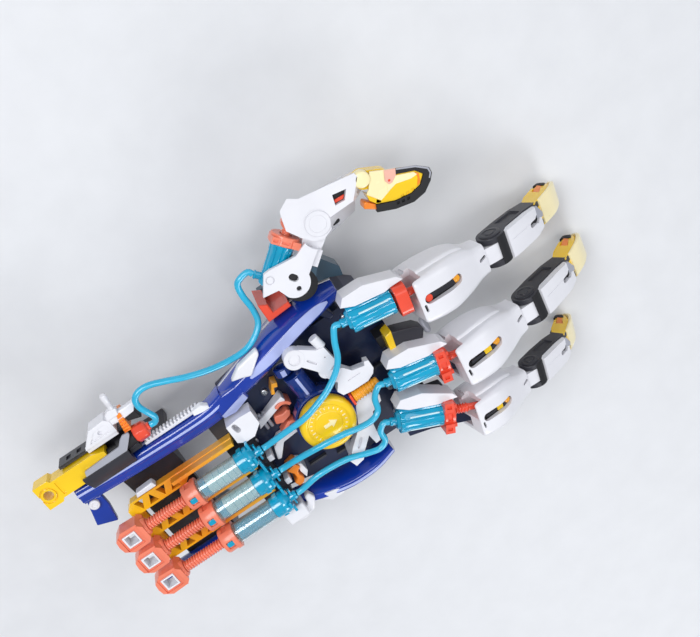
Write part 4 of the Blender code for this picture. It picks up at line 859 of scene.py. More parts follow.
def proximal(name, place):
    """The hollow first link: a roof over the rod's eye, a window in it and a bar seen through it, over a
    black floor painted in as shade.
    """
    add = partial(piece, body=f"{name}_proximal", place=place)
    shell = loft([(-10.8, (-9.8, 14.2), (-9, 21.4), 2.5), (-9, (-11.5, 15.5), (-10.5, 22.0), 3),
        (0, (-12.6, 16.5), (-11.5, 22.4), 4), (10, (-12.8, 17), (-11.5, 22), 5), (20, (-12.2, 16),
        (-10.5, 18), 5), (28, (-11.3, 13.2), (-9.6, 14), 4.5), (34, (-10, 10.2), (-8.8, 11), 3.5),
        (41, (-9.2, 9.2), (-8.3, 8.5), 2.5),], 3)
    panel = loft([(-7.5, (9, 16.9), (-4, 13), 1.5), (0, (9, 17.9), (-6, 15), 2.5),
        (12, (9, 18.5), (-6, 14.6), 3), (22, (8, 17.0), (-5, 11.6), 2.5), (28, (7, 14.2), (-4, 8.4), 1.5),
        (30, (7, 12.0), (-3, 7), 1.2),], 3)
    tongue = prism(capsule((38, 0), (PROXIMAL, 0), 7.5, 7.5), -5.2, 5.2, "Y")
    shell = unite(shell, panel, tongue)
    far = [(PROXIMAL + 14, -12), (PROXIMAL + 14, 12)]
    cutters = [box((-16, -6.5), (3.0, 12.5), (4.0, 20.2)), box((-16, -4.5), (6, 24), (4.0, 19.9)),
        prism([(-16, -3), (-7, 2.0), (-3, 4.1), (-16, 4.1)], 3.0, 13, "Y"),
        prism([(-7, 4), (14, 4), (14, 16.8), (6.5, 21.6), (-7, 21.6)], 3.0, 12.5, "Y"),
        box((-16, 10), (-7.1, 1.1), (-16, 9)), box((13, 36), (-8, 6), (-16, 5.5)),
        prism([(-7, 9.5), (18.5, 9.5), (18.5, 15.4), (12, 18.2), (-7, 20.0)], -3.2, 6.0, "Y"),
        prism(capsule((-4.6, 2.6), (15.8, 3.4), 3.0, 3.0), 14, 30), rod((0, -11.3, 0), (0, 2.3, 0), 2.8),
        prism(arc(PROXIMAL, 0, 9.2, 90, 270, 24) + far, 5.2, 14, "Y"), prism(arc(PROXIMAL, 0, 9.2, 90, 270,
        24) + far, -14, -5.2, "Y"), prism(capsule((36.2, 1.4), (39.6, 2.2), 1.0, 1.0, 6), 6.8, 14),
        prism(capsule((-8.4, -0.4), (-8.2, -3.6), 0.8, 0.8, 6), 19.4, 26),]
    shell = cut(shell, *cutters)
    pin = rod((EYE_PIN[0], 2.0, EYE_PIN[2]), (EYE_PIN[0], 13.5, EYE_PIN[2]), 1.8, 24)
    add(f"{name}_proximal_body", unite(shell, pin), WHITE, 0.5, replaced=(f"{name}_proximal_shell",))
    add(f"{name}_middle_pin", rod((PROXIMAL, -7.9, 0), (PROXIMAL, 7.9, 0), 2.5, 32), STEEL, 0.2)
    side = 4.3 if name == "index" else 2.7
    # painted shade: a black floor under the window, and black wells under the two slots, stand in for the
    # shadow in the hollow
    floor = prism([(-6.6, 17.8), (-6.6, 18.8), (10, 18.0), (18.0, 15.4), (18.0, 14.2)], -2.9, side, "Y")
    shade_wells = [prism(capsule((36.2, 1.4), (39.6, 2.2), 0.85, 0.85, 6), 6.4, 7.6),
        prism(capsule((-8.4, -0.4), (-8.2, -3.6), 0.65, 0.65, 6), 19.0, 20.4)]
    add(f"{name}_window_floor", gather(floor, *shade_wells), BLACK, 0.1)
    add(f"{name}_inner_bar", prism(capsule((-3.6, 19.3), (13.6, 17.5), 0.8, 0.7), 1.0,
        4.0 if name == "index" else 2.7, "Y"), GREY)
    if name == "index":
        add(f"{name}_inner_ring", turned([(-1.2, 1.8), (-1.2, 2.3), (1.2, 2.3), (1.2, 1.8)],
            (-4.4, 2.4, 19.4), (0, 0, 1), 36), RED, 0.3)
    else:
        clip = prism([(5.6, 0.8), (10.4, 1.0), (10.4, 4.6), (5.4, 4.4)], 18.0, 19.6)
        add(f"{name}_inner_clip", clip, YELLOW, 0.3)
    add(f"{name}_inner_pin", turned([(0, 1.8), (0, 2.4), (1.8, 2.4), (2.2, 1.8)], (15.4, 3.4, 16.0),
        (0, 0, 1), 36), GOLD, 0.25)
    bar = prism(capsule((17, 0), (32, 0), 3.8, 3.2), -6.6, 0.4, "Y")
    groove = prism(capsule((21, 0), (28, 0), 1.6, 1.3), -8, -5.4, "Y")
    add(f"{name}_link_bar", cut(bar, groove), GREY, replaced=(f"{name}_curl_link",))
    for end, x, material in (("base", 17, RED), ("far", 32, GOLD)):
        add(f"{name}_link_pin_{end}", rod((x, -7.7, 0), (x, 5.7, 0), 2.2, 28), material, 0.3,
            slot="red_plastic" if end == "base" else "yellow_plastic")


def middle(name, place):
    """The grey second link, the white plate on it, its keyhole and its side bosses."""
    add = partial(piece, body=f"{name}_middle_segment", place=place)
    outline = (arc(0, 0, 8.5, 65, 270, 36) + [(12, -8.5), (30, -7.0)] + arc(MIDDLE, 0, 5.8, 280, 420,
        24) + [(32, 5.2), (9.5, 5.2)])
    shape = prism(outline, -9.3, 9.3, "Y")
    trims = [prism([(24, a * 9.6), (50, a * 7.4), (50, a * 14), (24, a * 14)], -14, 14) for a in (1, -1)]
    hollows = [prism([(12, -5.6), (27, -4.6), (27, 2.6), (13, 2.6)], 8.2, 14, "Y"),
        prism([(12, -5.6), (27, -4.6), (27, 2.6), (13, 2.6)], -14, -8.2, "Y")]
    add(f"{name}_middle_body", cut(shape, box((-14, 8.8), (-5.5, 5.5), (-14, 14)),
        box((MIDDLE - 8.5, MIDDLE + 12), (-4.5, 4.5), (-14, 14)), *trims, *hollows, rod((0, -8.3, 0),
        (0, 8.3, 0), 2.8), rod((MIDDLE, -6.9, 0), (MIDDLE, 6.9, 0), 2.3)), GREY, 0.45,
        replaced=(f"{name}_middle_frame",))
    for side in (1, -1):
        add(f"{name}_middle_boss_{'inner' if side < 0 else 'outer'}",
            turned([(0, 6.6), (0.5, 6.6), (0.8, 6.2), (0.8, 4.6), (0.4, 4.3), (0.4, 2.9), (0.9, 2.6),
            (0.9, 0.6)], (0, side * 9.25, 0), (0, side, 0)), GREY, 0.1)
    cover = prism([(4.6, -9.0), (26, -8.8), (38.6, -7.5), (38.6, 1.6), (35.2, 7.9), (26, 8.8), (4.6, 9.0)],
        5.5, 9.9)
    slope = prism([(3, 12), (3, 9.2), (9, 9.9), (30, 9.7), (39.5, 7.4), (39.5, 12)], -12, 12, "Y")
    keyhole = unite(prism(capsule((26.5, 0.2), (33.0, 0.6), 1.7, 1.7), 5, 12), rod((33.2, 0.6, 5),
        (33.2, 0.6, 12), 2.6))
    seam = box((7, 25.6), (1.6, 1.9), (9.6, 12))
    add(f"{name}_middle_plate", cut(cover, slope, keyhole, seam, rod((0, -12, 0), (0, 12, 0), 8.0)), WHITE,
        0.5, replaced=(f"{name}_middle_cover",))
    # painted shade: a black plate under the keyhole stands in for the shadow in the hole
    add(f"{name}_keyhole_well", prism(capsule((26.5, 0.2), (33.2, 0.6), 2.0, 2.9), 5.25, 6.6), BLACK, 0.1)
    add(f"{name}_cover_sill", prism(arc(0, 0, 8.9, 60, 112, 10) + arc(0, 0, 7.85, 112, 40, 14), -8.9, 8.9,
        "Y"), BLACK, 0.5)
    add(f"{name}_cover_catch", prism([(33.4, 0.9), (38.6, -0.6), (39.2, 2.2), (35.4, 8.2), (33.8, 8.0)],
        7.9, 9.0), PALE_GREY, 0.25)


def fingertip(name, place):
    """Yellow sides under a cream back, with a dark grip at the end and dark ribs below."""
    add = partial(piece, body=f"{name}_fingertip", place=place)
    shape = loft([(7.3, (-7.3, 7.3), (-7, 4.2), 2.0), (14, (-7.6, 7.6), (-7.6, 4.4), 2.2), (21, (-7.4, 7.4),
        (-8.1, 3.6), 2.4), (28, (-6.6, 6.6), (-8.4, 1.2), 2.4), (32.5, (-5.0, 5.0), (-8.4, -2.4), 2.0),
        (34.3, (-3.4, 3.4), (-8.0, -4.6), 1.4)], 4)
    tongue = prism(capsule((0, 0), (10, -0.5), 5.2, 5.2), -4.2, 4.2, "Y")
    cheek = [(-3.8, -3.6), (-5.0, 0.4), (-2.0, 5.0), (6.0, 5.4), (20.0, 4.2), (20.0, -7.0), (8.0, -6.8)]
    cheeks = [prism(cheek, 7.25, 8.3, "Y"), prism(cheek, -8.3, -7.25, "Y")]
    shape = unite(shape, *cheeks)
    scoop = [(13.6, 1.4), (24.4, -1.6), (26, -6.2), (15, -4.8)]
    shape = cut(unite(shape, tongue), prism(scoop, 7.1, 14, "Y"), prism(scoop, -14, -7.1, "Y"))
    add(f"{name}_tip_body", unite(shape, rod((0, -6.6, 0), (0, 6.6, 0), 2.0, 28)), YELLOW, 0.4,
        replaced=(f"{name}_tip",))
    add(f"{name}_tip_shell", loft([(3.0, (-8.4, 8.4), (4.6, 6.2), 0.7), (14, (-8.6, 8.6), (4.6, 6.6), 0.9),
        (21, (-8.4, 8.4), (3.7, 6.0), 0.9), (28, (-7.6, 7.6), (1.3, 4.2), 1.0), (32.5, (-6.2, 6.2),
        (-2.3, 1.2), 1.2), (35.0, (-4.2, 4.2), (-5.6, -2.2), 1.2)], 5), CREAM, 0.2)
    for side, low, high in (("outer", 6.6, 7.7), ("inner", -7.7, -6.6)):
        add(f"{name}_tip_inlay_{side}", prism([(14.2, 0.8), (23.8, -2.0), (25.2, -5.8), (15.4, -4.5)], low,
            high, "Y"), ORANGE, 0.2)
    pad = loft([(25.0, (-6.2, 7.7), (-8.9, -0.6), 1.2), (30, (-5.2, 6.9), (-8.9, -2.4), 1.2),
        (33.9, (-3.2, 4.6), (-8.5, -5.2), 1.0)], 3)
    dent = box((27.0, 31.6), (6.6, 9), (-6.0, -4.2))
    add(f"{name}_tip_grip", cut(pad, dent), BLACK, 0.3)
    sole = box((9, 25), (-4.2, 4.2), (-9.0, -7.4))
    grooves = [box((x, x + 0.8), (-6, 6), (-10, -8.5)) for x in (11.5, 14.5, 17.5, 20.5, 23.0)]
    add(f"{name}_tip_sole", cut(sole, *grooves), BLACK, 0.25)


def cylinder(name):
    """The barrel with its lengthwise flutes and pale strips painted on as highlights, its collar and its
    ribbed rod.
    """
    spec = FINGERS[name]
    place = turn_z(rod_pin_place(name), spec["cylinder_yaw"])
    end = -CYLINDER_FRONT - spec["stroke_out"]
    barrel = turned([(end - 34.5, 7.7), (end - 33.8, CYLINDER_R), (end - 31.0, CYLINDER_R),
        (end - 29.4, 7.7), (end - 10.0, 7.7), (end - 9.6, CYLINDER_R), (end - 8.3, CYLINDER_R)], sides=144,
        flutes=9, depth=1.0)
    nozzle = turned([(end - 40, 1.9), (end - 40, 2.4), (end - 38.8, 2.7), (end - 37.6, 2.4),
        (end - 36.4, 2.5), (end - 36.2, 4.8), (end - 35.2, 5.4), (end - 34.2, 6.6), (end - 33.0, 6.8)])
    piece(f"{name}_barrel_body", cut(unite(barrel, nozzle), rod((end - 22, 0, 0), (end - 6, 0, 0), 3.5)),
        CYAN, 0.15, place=place, replaced=(f"{name}_cylinder_barrel",))
    # painted highlight: two pale strips along the barrel stand in for its bright highlight lines
    glints = [prism([(end - 29.0, y - w), (end - 11.0, y - w), (end - 11.0, y + w), (end - 29.0, y + w)],
        6.2, z) for y, w, z in ((3.9, 0.45, 7.05), (-4.6, 0.3, 6.75))]
    piece(f"{name}_barrel_highlights", gather(*glints), PALE_WATER_AND_HIGHLIGHT, 0.15, place=place)
    if name == "index":
        collar = prism(rounded((-9.3, 9.3), (-9.0, 10.2), 4.5), end - 7.2, end + 0.2, "X")
    else:
        collar = turned([(end - 8.4, 8.6), (end - 7.9, 9.1), (end - 2.0, 9.1), (end - 1.4, 8.6)])
        lugs = [box((end - 8.6, end - 2.8), (a * 6.9 - 3.0, a * 6.9 + 3.0), (-3.6, 10.2)) for a in (1, -1)]
        bars = [box((end - 3.4, end - 0.6), (a * 6.2 - 1.2, a * 6.2 + 1.2), (1.0, 7.6)) for a in (1, -1)]
        collar = unite(collar, *lugs, *bars)
        marks = [box((end - 6.6, end - 3.4), (-2.2, 2.2), (8.0, 12)), box((end - 7.2, end - 4.4),
            (6.0, 8.2), (9.0, 12)), box((end - 7.2, end - 4.4), (-8.2, -6.0), (9.0, 12))]
        collar = cut(collar, *marks)
    piece(f"{name}_collar_body", cut(collar, rod((end - 10, 0, 0), (end + 4, 0, 0), 3.6)), RED, 0.4,
        place=place, replaced=(f"{name}_cylinder_collar",))
    shaft = turned(ribbed(end - 8, -9.8, 2.4, 3.0, 1.7) + [(-9.2, 2.2), (-2.9, 2.2)])
    reach, slot = 1.9 * spec["scale"], 2.35 * spec["scale"]
    piece(f"{name}_rod_body", cut(unite(prism(capsule((0, -reach), (0, reach), slot + 0.5, slot + 0.5),
        -1.8, 1.8, "Y"), shaft), prism(capsule((0, -reach), (0, reach), slot, slot), -4, 4, "Y")), RED,
        0.25, body=f"{name}_rod", place=place, replaced=(f"{name}_cylinder_rod",))


def fingers():
    """Every finger, from its knuckle to its tip."""
    for name in FINGERS:
        knuckle, middle_place, tip_place = finger_places(name)
        proximal(name, knuckle)
        middle(name, middle_place)
        fingertip(name, tip_place)
        cylinder(name)


# ---------------------------------------------------------------- thumb

def thumb_lower(base):
    """The first thumb link over its pivot, with its cylinder beside it."""
    add = partial(piece, body="thumb_lower", place=base)
    hub = prism(arc(0, 0, 9, 180, 300, 30) + [(12, -6), (12, 6), (-9, 6)], -9.7, 7.1)
    add("thumb_lower_hub", cut(hub, rod((0, 0, -14), (0, 0, 6.9), 3.8)), SLATE, 0.4)
    lid = prism(arc(1.2, 4.4, 9, 175, 315, 36) + [(18, -2.2), (24, -2.6), (26, 5), (15.7, 8.3), (4.1, 20.2),
        (1.1, 22.3), (-11.5, 18.6), (-5.4, 11.6)], 7.3, 10)
    post = prism([(12.2, -6), (22, -6), (22, 6), (12.2, 6)], -9.7, 7.6)
    arm = prism(capsule((16, 0), (THUMB_LOWER, 0), 5.4, 6.6), -4.2, 4.2)
    lower = unite(post, lid, arm)
    round_cut = arc(THUMB_LOWER, 0, 9.5, 0, 360, 48)[:-1]
    screw_well = cut(rod((-1.0, 18.0, 9.2), (-1.0, 18.0, 12), 2.5, 40), rod((-1.0, 18.0, 8),
        (-1.0, 18.0, 13), 1.9, 40))
    lower = cut(lower, prism(round_cut, 4.2, 14), prism(round_cut, -14, -4.2),
        prism(capsule((3.6, 5.0), (3.8, 6.6), 2.1, 2.1), 8.6, 14), rod((-1.5, 0.9, 8.8), (-1.5, 0.9, 12),
        1.5, 32), prism(capsule((16.6, -3.4), (19.4, -2.8), 0.6, 0.6, 6), 9.2, 12), screw_well)
    add("thumb_lower_body", unite(lower, rod((THUMB_LOWER, 0, -7.5), (THUMB_LOWER, 0, 7.5), 2.5)), WHITE,
        0.5, replaced=("thumb_lower_shell",))
    # painted shade: black wells in the lid's slot and hole stand in for the shadow inside them
    shade_wells = [prism(capsule((3.6, 5.0), (3.8, 6.6), 1.9, 1.9), 8.2, 8.9), rod((-1.5, 0.9, 8.4),
        (-1.5, 0.9, 9.0), 1.35, 32)]
    add("thumb_lower_wells", gather(*shade_wells), BLACK, 0.1)
    # painted shadow: a black disc just under the lid stands in for the shadow ring round the pivot boss
    add("thumb_pivot_disc", turned([(5.6, 9.4), (5.9, 9.9), (6.9, 9.9), (7.2, 9.5)], (0, 0, 0), (0, 0, 1),
        72), BLACK, 0.1)
    y = THUMB_CYLINDER_Y
    barrel = turned([(-8, 4), (-6.4, 6.4), (-5.6, 7), (-3.0, 7), (-2.6, 6.7), (14.0, 6.7), (14.4, 7),
        (18, 7)], (0, y, 0), sides=120, flutes=10, depth=0.8)
    port = turned([(0, 2.2), (6.6, 2.2), (6.8, 2.6), (7.4, 2.6), (8.0, 1.9)], (-2.5, y + 3, 0), (0, 1, 0),
        32)
    add("thumb_barrel_body", cut(unite(barrel, port), rod((2, y, 0), (20, y, 0), 3.5)), CYAN, 0.15,
        replaced=("thumb_cylinder_barrel",))
    collar = unite(turned([(18.3, 8.0), (18.7, 8.4), (23.6, 8.4), (24, 8.0)], (0, y, 0)), box((18.6, 22.6),
        (y - 8.2, y - 3.6), (-4, 8.2)), box((18.6, 22.6), (y + 3.6, y + 8.2), (-4, 8.2)))
    add("thumb_collar_body", cut(collar, rod((15, y, 0), (27, y, 0), 3.6), box((20.0, 21.4),
        (y - 2.4, y + 2.4), (7.4, 12)), box((19.8, 21.4), (y + 4.6, y + 7.2), (7.2, 12))), SALMON, 0.4,
        replaced=("thumb_cylinder_collar",))
    slide = base @ turn_z((THUMB_LOWER - 0.9, y - 0.4, 0), 0)
    shaft = turned(ribbed(-12.0, -3.6, 2.3, 2.9, 1.6), (0, 0.4, 0))
    piece("thumb_rod_body", cut(unite(shaft, prism(capsule((0, -1.0), (0, 1.0), 4.2, 4.2), -2, 2)),
        prism(capsule((0, -1.0), (0, 1.0), 2.2, 2.2), -4, 4)), SALMON, 0.3, body="thumb_rod", place=slide,
        replaced=("thumb_cylinder_rod",))


def thumb_upper(knuckle):
    """The second thumb link: a raised disc, a window with a red bit over a black floor painted in as shade, a
    sloped grey edge.
    """
    add = partial(piece, body="thumb_upper", place=knuckle)
    top = [(-11.5, 13.5), (-8.8, 19), (-6, 23.8), (1.4, 25.7), (5.6, 21), (20.1, 15), (36, 8.2), (36, 5.5),
        (25.1, -2.4), (10, 0.8), (6, -4.4), (-0.5, -5.4), (-5.5, -2), (-8.5, 4)]
    bottom = [(-11, 12), (-8.5, 14.5), (-6.5, 17.5), (-1, 19.5), (4, 15.8), (18, 10.5), (36, 4.6),
        (36, -6.5), (26, -9), (21.5, -13.2), (4.5, -12.2), (-2.3, -8.7), (-7, -5.5), (-9, 2)]
    upper = skin([[(x, y, -8.5) for x, y in bottom], [(x, y, 8.5) for x, y in top]])
    grip_slope = prism([(-6.5, 8.5), (-6.5, 12), (-16, 12), (-16, 1), (-13.6, 1)], 2, 30, "X")
    turn_room = prism([(-20, -16), (10, -16), (10, 7.3), (4, 8.5), (3, 28), (-20, 28)], -4.6, 4.6)
    window = prism([(19.5, 8.7), (27.1, 5.3), (22.2, 1.4), (16.6, 3.2)], 4.8, 12)
    tip_slot = box((29.5, 50), (-12, 12), (-4.5, 4.5))
    disc = turned([(6.2, 7.4), (9.0, 7.4), (9.4, 7.0), (9.4, 5.0), (9.1, 4.7)], (3.0, 3.6, 0), (0, 0, 1),
        72)
    disc = cut(disc, box((-10, 20), (-20, -4.6), (0, 12)))
    upper = cut(upper, grip_slope, turn_room, window, tip_slot, rod((0, 0, -7.8), (0, 0, 7.8), 2.8),
        rod((THUMB_UPPER, 0, -7.2), (THUMB_UPPER, 0, 7.2), 2.3))
    upper = cut(unite(upper, disc), prism(capsule((8.6, -5.2), (11.4, -5.6), 1.3, 1.3, 8), 1.0, 12))
    # painted shade: a black piece sunk in the slot stands in for the shadow inside it
    add("thumb_upper_slot", prism(capsule((8.6, -5.2), (11.4, -5.6), 1.2, 1.2, 8), 0.6, 2.6), BLACK, 0.1)
    angle = math.radians(93.5 - THUMB_BEND)
    pin = (15 * math.cos(angle), 15 * math.sin(angle))
    add("thumb_upper_body", unite(upper, rod((*pin, -6), (*pin, 6), 1.9, 24)), WHITE, 0.6,
        replaced=("thumb_upper_shell",))
    # painted shade: a black floor under the window stands in for the shadow in the hollow below it
    add("thumb_window_floor", prism([(18.6, 8.6), (27.2, 5.6), (22.4, 1.2), (16.4, 3.0)], 4.6, 5.6), BLACK,
        0.2)
    add("thumb_window_bit", prism([(17.4, 3.6), (22.2, 2.0), (24.2, 3.4), (18.2, 5.2)], 5.6, 6.6), RED, 0.2)


def thumb_point(tip):
    """The thumb's last link: a yellow beak in a dark rim, a pink hook and an orange lever."""
    add = partial(piece, body="thumb_end", place=tip)
    outer = [(2.7, 5.7), (10.9, 5.2), (17.4, 5.3), (29.0, 5.6), (36.6, 3.6), (38.1, 0.4), (37.2, -4),
        (33.8, -10.3), (27.4, -14.8), (16.5, -17.5), (6.0, -18.0)]
    inner = [(5.6, -13.6), (16.7, -12.9), (26.1, -9.8), (31.3, -5.7), (33.2, 0.2), (28.6, 2.6), (17.6, 1.8),
        (8.6, 2.0)]
    top = [(8.6, -7.5), (8.6, 4.8), (28.4, 4.9), (35.8, 3.0), (37.2, 0.2), (36.3, -3.8), (33.0, -9.8),
        (26.9, -14.0), (16.5, -16.8), (6.0, -17.4), (6.0, -12)]
    bottom = [(8.6, -7.5), (8.6, -0.9), (28, -1.4), (33, -2.8), (35.4, -4), (35.6, -6.4), (32.8, -11),
        (26.9, -14.2), (16.5, -16.8), (6.0, -17.4), (6.0, -12)]
    beak = skin([[(x, y, -7.2) for x, y in bottom], [(x, y, 5.2) for x, y in top]])
    tongue = prism(capsule((0, 0), (10, 0), 5.2, 5.2), -4.2, 4.2)
    pocket = box((12, 30), (-24, -9.0), (-3.3, 3.3))
    add("thumb_tip_body", cut(unite(beak, tongue, rod((0, 0, -6.9), (0, 0, 6.9), 2.0, 32)), pocket), YELLOW,
        0.5, replaced=("thumb_tip",))
    band = [(17.3, 1.9), (17.3, 5.3)] + outer[3:] + [(5.6, -13.7)] + inner[1:7]
    low_band = [(17.3, 1.9), (17.3, 3.0), (28.6, 3.2), (35.4, 1.8), (36.6, -0.4), (35.8, -4.4),
        (32.6, -10.2), (26.8, -14.4), (16.5, -17.4), (6.0, -18.0)] + [(5.6, -13.7)] + inner[1:7]
    rim = skin([[(x, y, 3.4) for x, y in low_band], [(x, y, 7.4) for x, y in band]])
    add("thumb_tip_lip", prism([(17.6, 5.2), (28.8, 5.5), (36.2, 3.5), (37.6, 0.6), (36.9, -2.6),
        (36.0, -2.4), (36.6, 0.4), (35.4, 2.6), (28.6, 4.4), (17.6, 4.2)], 6.9, 7.59), PALE_GREY, 0.3)
    notches = [prism([(x, y), (x + 1.5, y + 0.5), (x + 1.2, y + 2.0), (x - 0.3, y + 1.5)], 6.2, 9) for x,
        y in ((17.5, -15.1), (20.5, -14.3), (23.5, -13.3))]
    add("thumb_tip_rim", cut(rim, *notches), BLACK, 0.7)
    face = prism([(a * 0.985 + 0.2, b * 0.97 - 0.1) for a, b in inner], 4.9, 6.6)
    ticks = [prism([(x, y), (x + 1.7, y + 0.7), (x + 1.2, y + 2.1), (x - 0.4, y + 1.4)], 6.0, 9) for x,
        y in ((20.4, -11.6), (23.4, -10.4), (26.4, -8.8))]
    add("thumb_tip_face", cut(face, *ticks), YELLOW, 0.4)
    add("thumb_tip_pale", prism([(12.4, 1.6), (12.4, -7.6), (12.6, -7.4), (17.4, -3.4), (26.0, -1.6),
        (29.6, 0.4), (27.6, 1.9), (17.6, 1.2)], 6.5, 7.2), CREAM, 0.3)
    add("thumb_tip_glow", prism([(28.4, 1.7), (30.6, 0.9), (31.4, -4.2), (29.6, -6.2), (30.0, -1.2)], 6.5,
        7.0), ORANGE, 0.2)
    add("thumb_tip_boss", turned([(3.0, 4.8), (7.6, 4.8), (8.3, 4.3), (8.5, 3.4), (8.5, 0.4)],
        (-1.8, 1.4, 0), (0, 0, 1), 56), CREAM, 0.3)
    add("thumb_tip_neck", prism([(2.2, -4.6), (0.6, -7.6), (8.8, -11.8), (17.4, -3.4), (17.4, 4.9),
        (3.0, 4.9)], 5.0, 6.9), CREAM, 0.4)
    add("thumb_tip_chin", prism([(0.6, -7.6), (2.2, -11.2), (6.0, -13.3), (9.0, -13.2), (9.0, -11.6)], -4.0,
        6.6), YELLOW, 0.4)
    add("thumb_tip_hook", cut(prism([(10.9, 4.9), (17.4, 5.2), (17.5, 1.5), (15.2, -2.4), (13.4, -3.2),
        (11.2, -1.2)], 6.8, 7.58), rod((13.6, -1.0, 7.2), (13.6, -1.0, 9), 0.75, 24)), PINK, 0.25)
    add("thumb_tip_hook_hole", rod((13.6, -1.0, 6.9), (13.6, -1.0, 7.3), 0.7, 24), RED, 0.05)
    add("thumb_tip_lever", prism([(-1.0, -12.6), (0.0, -11.6), (1.4, -12.2), (6.6, -14), (8.7, -14.2),
        (8.7, -17.2), (1.1, -16), (-1.0, -15.7)], -3.4, 6.0), ORANGE, 0.6)


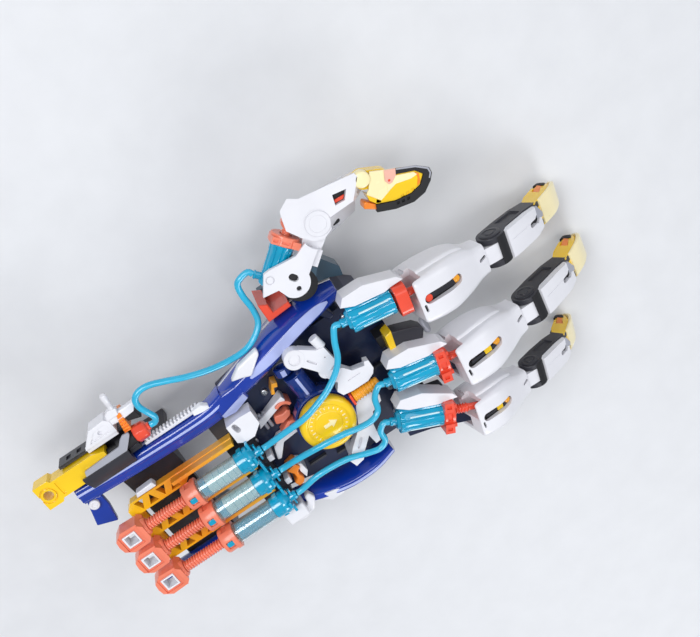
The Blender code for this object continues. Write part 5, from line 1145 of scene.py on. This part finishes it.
def thumb_control_pieces():
    """The thumb's own syringe in its tray, and the lever beside it."""
    y, z = THUMB_CONTROL_Y, THUMB_CONTROL_Z
    at = Matrix.Translation((0, y * MM, z * MM))
    tray = box((-136, -92), (y - 8.9, y + 8.9), (z - 10.9, z - 0.4))
    tray = cut(tray, box((-138, -94.5), (y - 7, y + 7), (z - 7.9, z + 4)), rod((-97, y, z), (-88, y, z),
        7.0), *[box((x, x + 3.0), (y - 12, y - 7.9), (z - 7.6, z - 3.2)) for x in (-131, -124, -117, -110)],
        *[box((x, x + 3.0), (y + 7.9, y + 12), (z - 7.6, z - 3.2)) for x in (-131, -124)])
    piece("thumb_tray_body", tray, GREY, 0.5, replaced=("thumb_control_tray",))
    piece("thumb_tray_rim", prism([(-125.5, 65.1), (-98.2, 64.9), (-91.4, 72.2), (-91.4, 73.8),
        (-95.0, 74.2), (-97.7, 72.6), (-100.6, 69.6), (-124.2, 68.4)], z + 4.8, z + 6.8), PALE_GREY, 0.5)
    skirt = prism([(53.6, 60.6), (58.6, 61.1), (60.9, 61.1), (60.9, 66.2), (64.8, 66.2), (64.8, 67.9),
        (60.6, 67.2), (53.6, 61.6)], -128.4, -91.4, "X")
    skirt = cut(skirt, prism([(-99.6, 50), (-97.9, 64.9), (-91.0, 72), (-80, 72), (-80, 50)], 50, 72))
    front = prism([(-99.0, 61.0), (-97.6, 64.7), (-92.2, 70.6), (-92.2, 61.0)], z - 0.3, z + 0.5)
    front = cut(front, rod((-101, y, z), (-88, y, z), 4.9))
    piece("thumb_tray_skirt", gather(skirt, front), GREY, 0.4)
    side = prism([(-117.4, 76.6), (-116.0, 78.7), (-109.1, 85.8), (-99, 86.4), (-96.5, 84), (-96.5, 76.6)],
        z - 9, z + 2.4)
    face = prism([(-112.6, 78.6), (-107.4, 83.6), (-100.6, 84.0), (-99.0, 82.4), (-99.0, 78.6)], z + 1.6,
        z + 4)
    side = unite(side, box((-117.0, -97.0), (74.2, 78.0), (z - 0.1, z + 1.6)))
    piece("thumb_lever_body", cut(side, face, rod((-105.0, 81.0, z), (-105.0, 81.0, z + 4), 1.3, 24)),
        WHITE, 0.8)
    piece("thumb_lever_arm", prism([(-98.8, 80.8), (-91.4, 79.8), (-82.2, 80.6), (-79.0, 86.0),
        (-85.4, 85.6), (-97.5, 86.2)], z - 3, z + 1.8), WHITE, 0.8)
    piece("thumb_lever_rod", unite(prism([(-97, 84.5), (-90, 84.5), (-89, 88.6), (-93.8, 89.6),
        (-96.5, 88)], z - 3, z + 3), turned([(0, 1.5), (6.0, 1.5), (6.6, 1.9), (12.6, 1.9), (13.4, 1.5)],
        (-91.5, 87, z + 1), (0.15, 1, 0.22), 28)), WHITE, 0.5)
    ribs = [box((-95, -88), (73.4 + i * 2.0, 74.2 + i * 2.0), (z + 1.7, z + 5)) for i in range(5)]
    piece("thumb_lever_grip", cut(prism([(-94, 72.8), (-89.5, 72.8), (-88.8, 84.8), (-91.1, 84.8),
        (-92.8, 79.6)], z - 9, z + 2.6), *ribs), ORANGE, 0.3)
    piece("thumb_lever_heel", prism([(-88.6, 77.2), (-81.0, 74.8), (-82.2, 81.2), (-88.6, 83.0)], z - 9,
        z + 1.2), BLACK, 0.5)
    cap = turned([(-81, 2.0), (-81, 2.4), (-82.4, 2.5), (-82.8, 4.2), (-84.0, 5.2), (-89.6, 5.6),
        (-90.8, 4.9)], sides=8)
    cap.data.transform(Matrix.Rotation(math.radians(22.5), 4, "X"))
    piece("thumb_control_cap", cap, RED, 0.4, place=at)
    piece("thumb_control_tube", pipe(-90.9, -101.9, 4.6, 3.9), BLACK, 0, place=at,
        replaced=("thumb_control_barrel",))
    piece("thumb_control_piston", turned([(-98.2, 3.0), (-98.8, 3.6), (-100.8, 3.6), (-101.4, 2.4),
        (-108.7, 2.4)]), BLACK, 0.1, body="thumb_control", place=at)
    block = prism([(-109, -5.0), (-110.2, -6.2), (-143.5, -6.2), (-144.6, -8), (-154, -8), (-154, 8),
        (-144.6, 8), (-143.5, 6.2), (-116.5, 6.2), (-109, 4.0)], -5.5, 4.5)
    block = cut(block, rod((-149, 0, -9), (-149, 0, 9), 3.0), cut(rod((-149, 0, 3.6), (-149, 0, 9), 5.2),
        rod((-149, 0, 0), (-149, 0, 10), 4.2)), box((-142.0, -140.0), (-4.6, 4.6), (3.6, 9)))
    piece("rail_end_link", prism([(-139.6, 46.2), (-130.6, 45.4), (-130.6, 37.0), (-132.9, 25.0),
        (-144.6, 29.6)], 51.2, 55.5), BLUE, 0.8)
    piece("rail_end_stud", turned([(55.3, 3.0), (57.6, 3.2), (58.2, 2.7), (58.2, 1.6), (57.5, 1.4),
        (57.5, 0.3)], (-136.6, 43.0, 0), (0, 0, 1), 40), WHITE, 0.15)
    piece("guide_tab", prism([(-114.6, 32.4), (-113.4, 35.4), (-102.2, 36.0), (-101.0, 32.4)], 54, 60),
        WHITE, 0.7)
    piece("thumb_control_pull", block, YELLOW, 0.5, body="thumb_control", place=at,
        replaced=("thumb_control_rod",))


def thumb():
    """The thumb's links, base to tip, and its control."""
    base = turn_z(THUMB_BASE, THUMB_YAW)
    knuckle = base @ turn_z((THUMB_LOWER, 0, 0), THUMB_BEND)
    tip = knuckle @ turn_z((THUMB_UPPER, 0, 0), THUMB_TIP_BEND)
    thumb_lower(base)
    thumb_upper(knuckle)
    thumb_point(tip)
    thumb_control_pieces()


make_camera()
make_stage()
hoses()
rails()
structure()
braces()
deck_details()
knob()
for control_name, control_row in CONTROL_ROWS.items():
    syringe(control_name, control_row, "root", control_name == "ring")
    control_rod(control_name, control_row, CONTROL_Z)
fingers()
thumb()
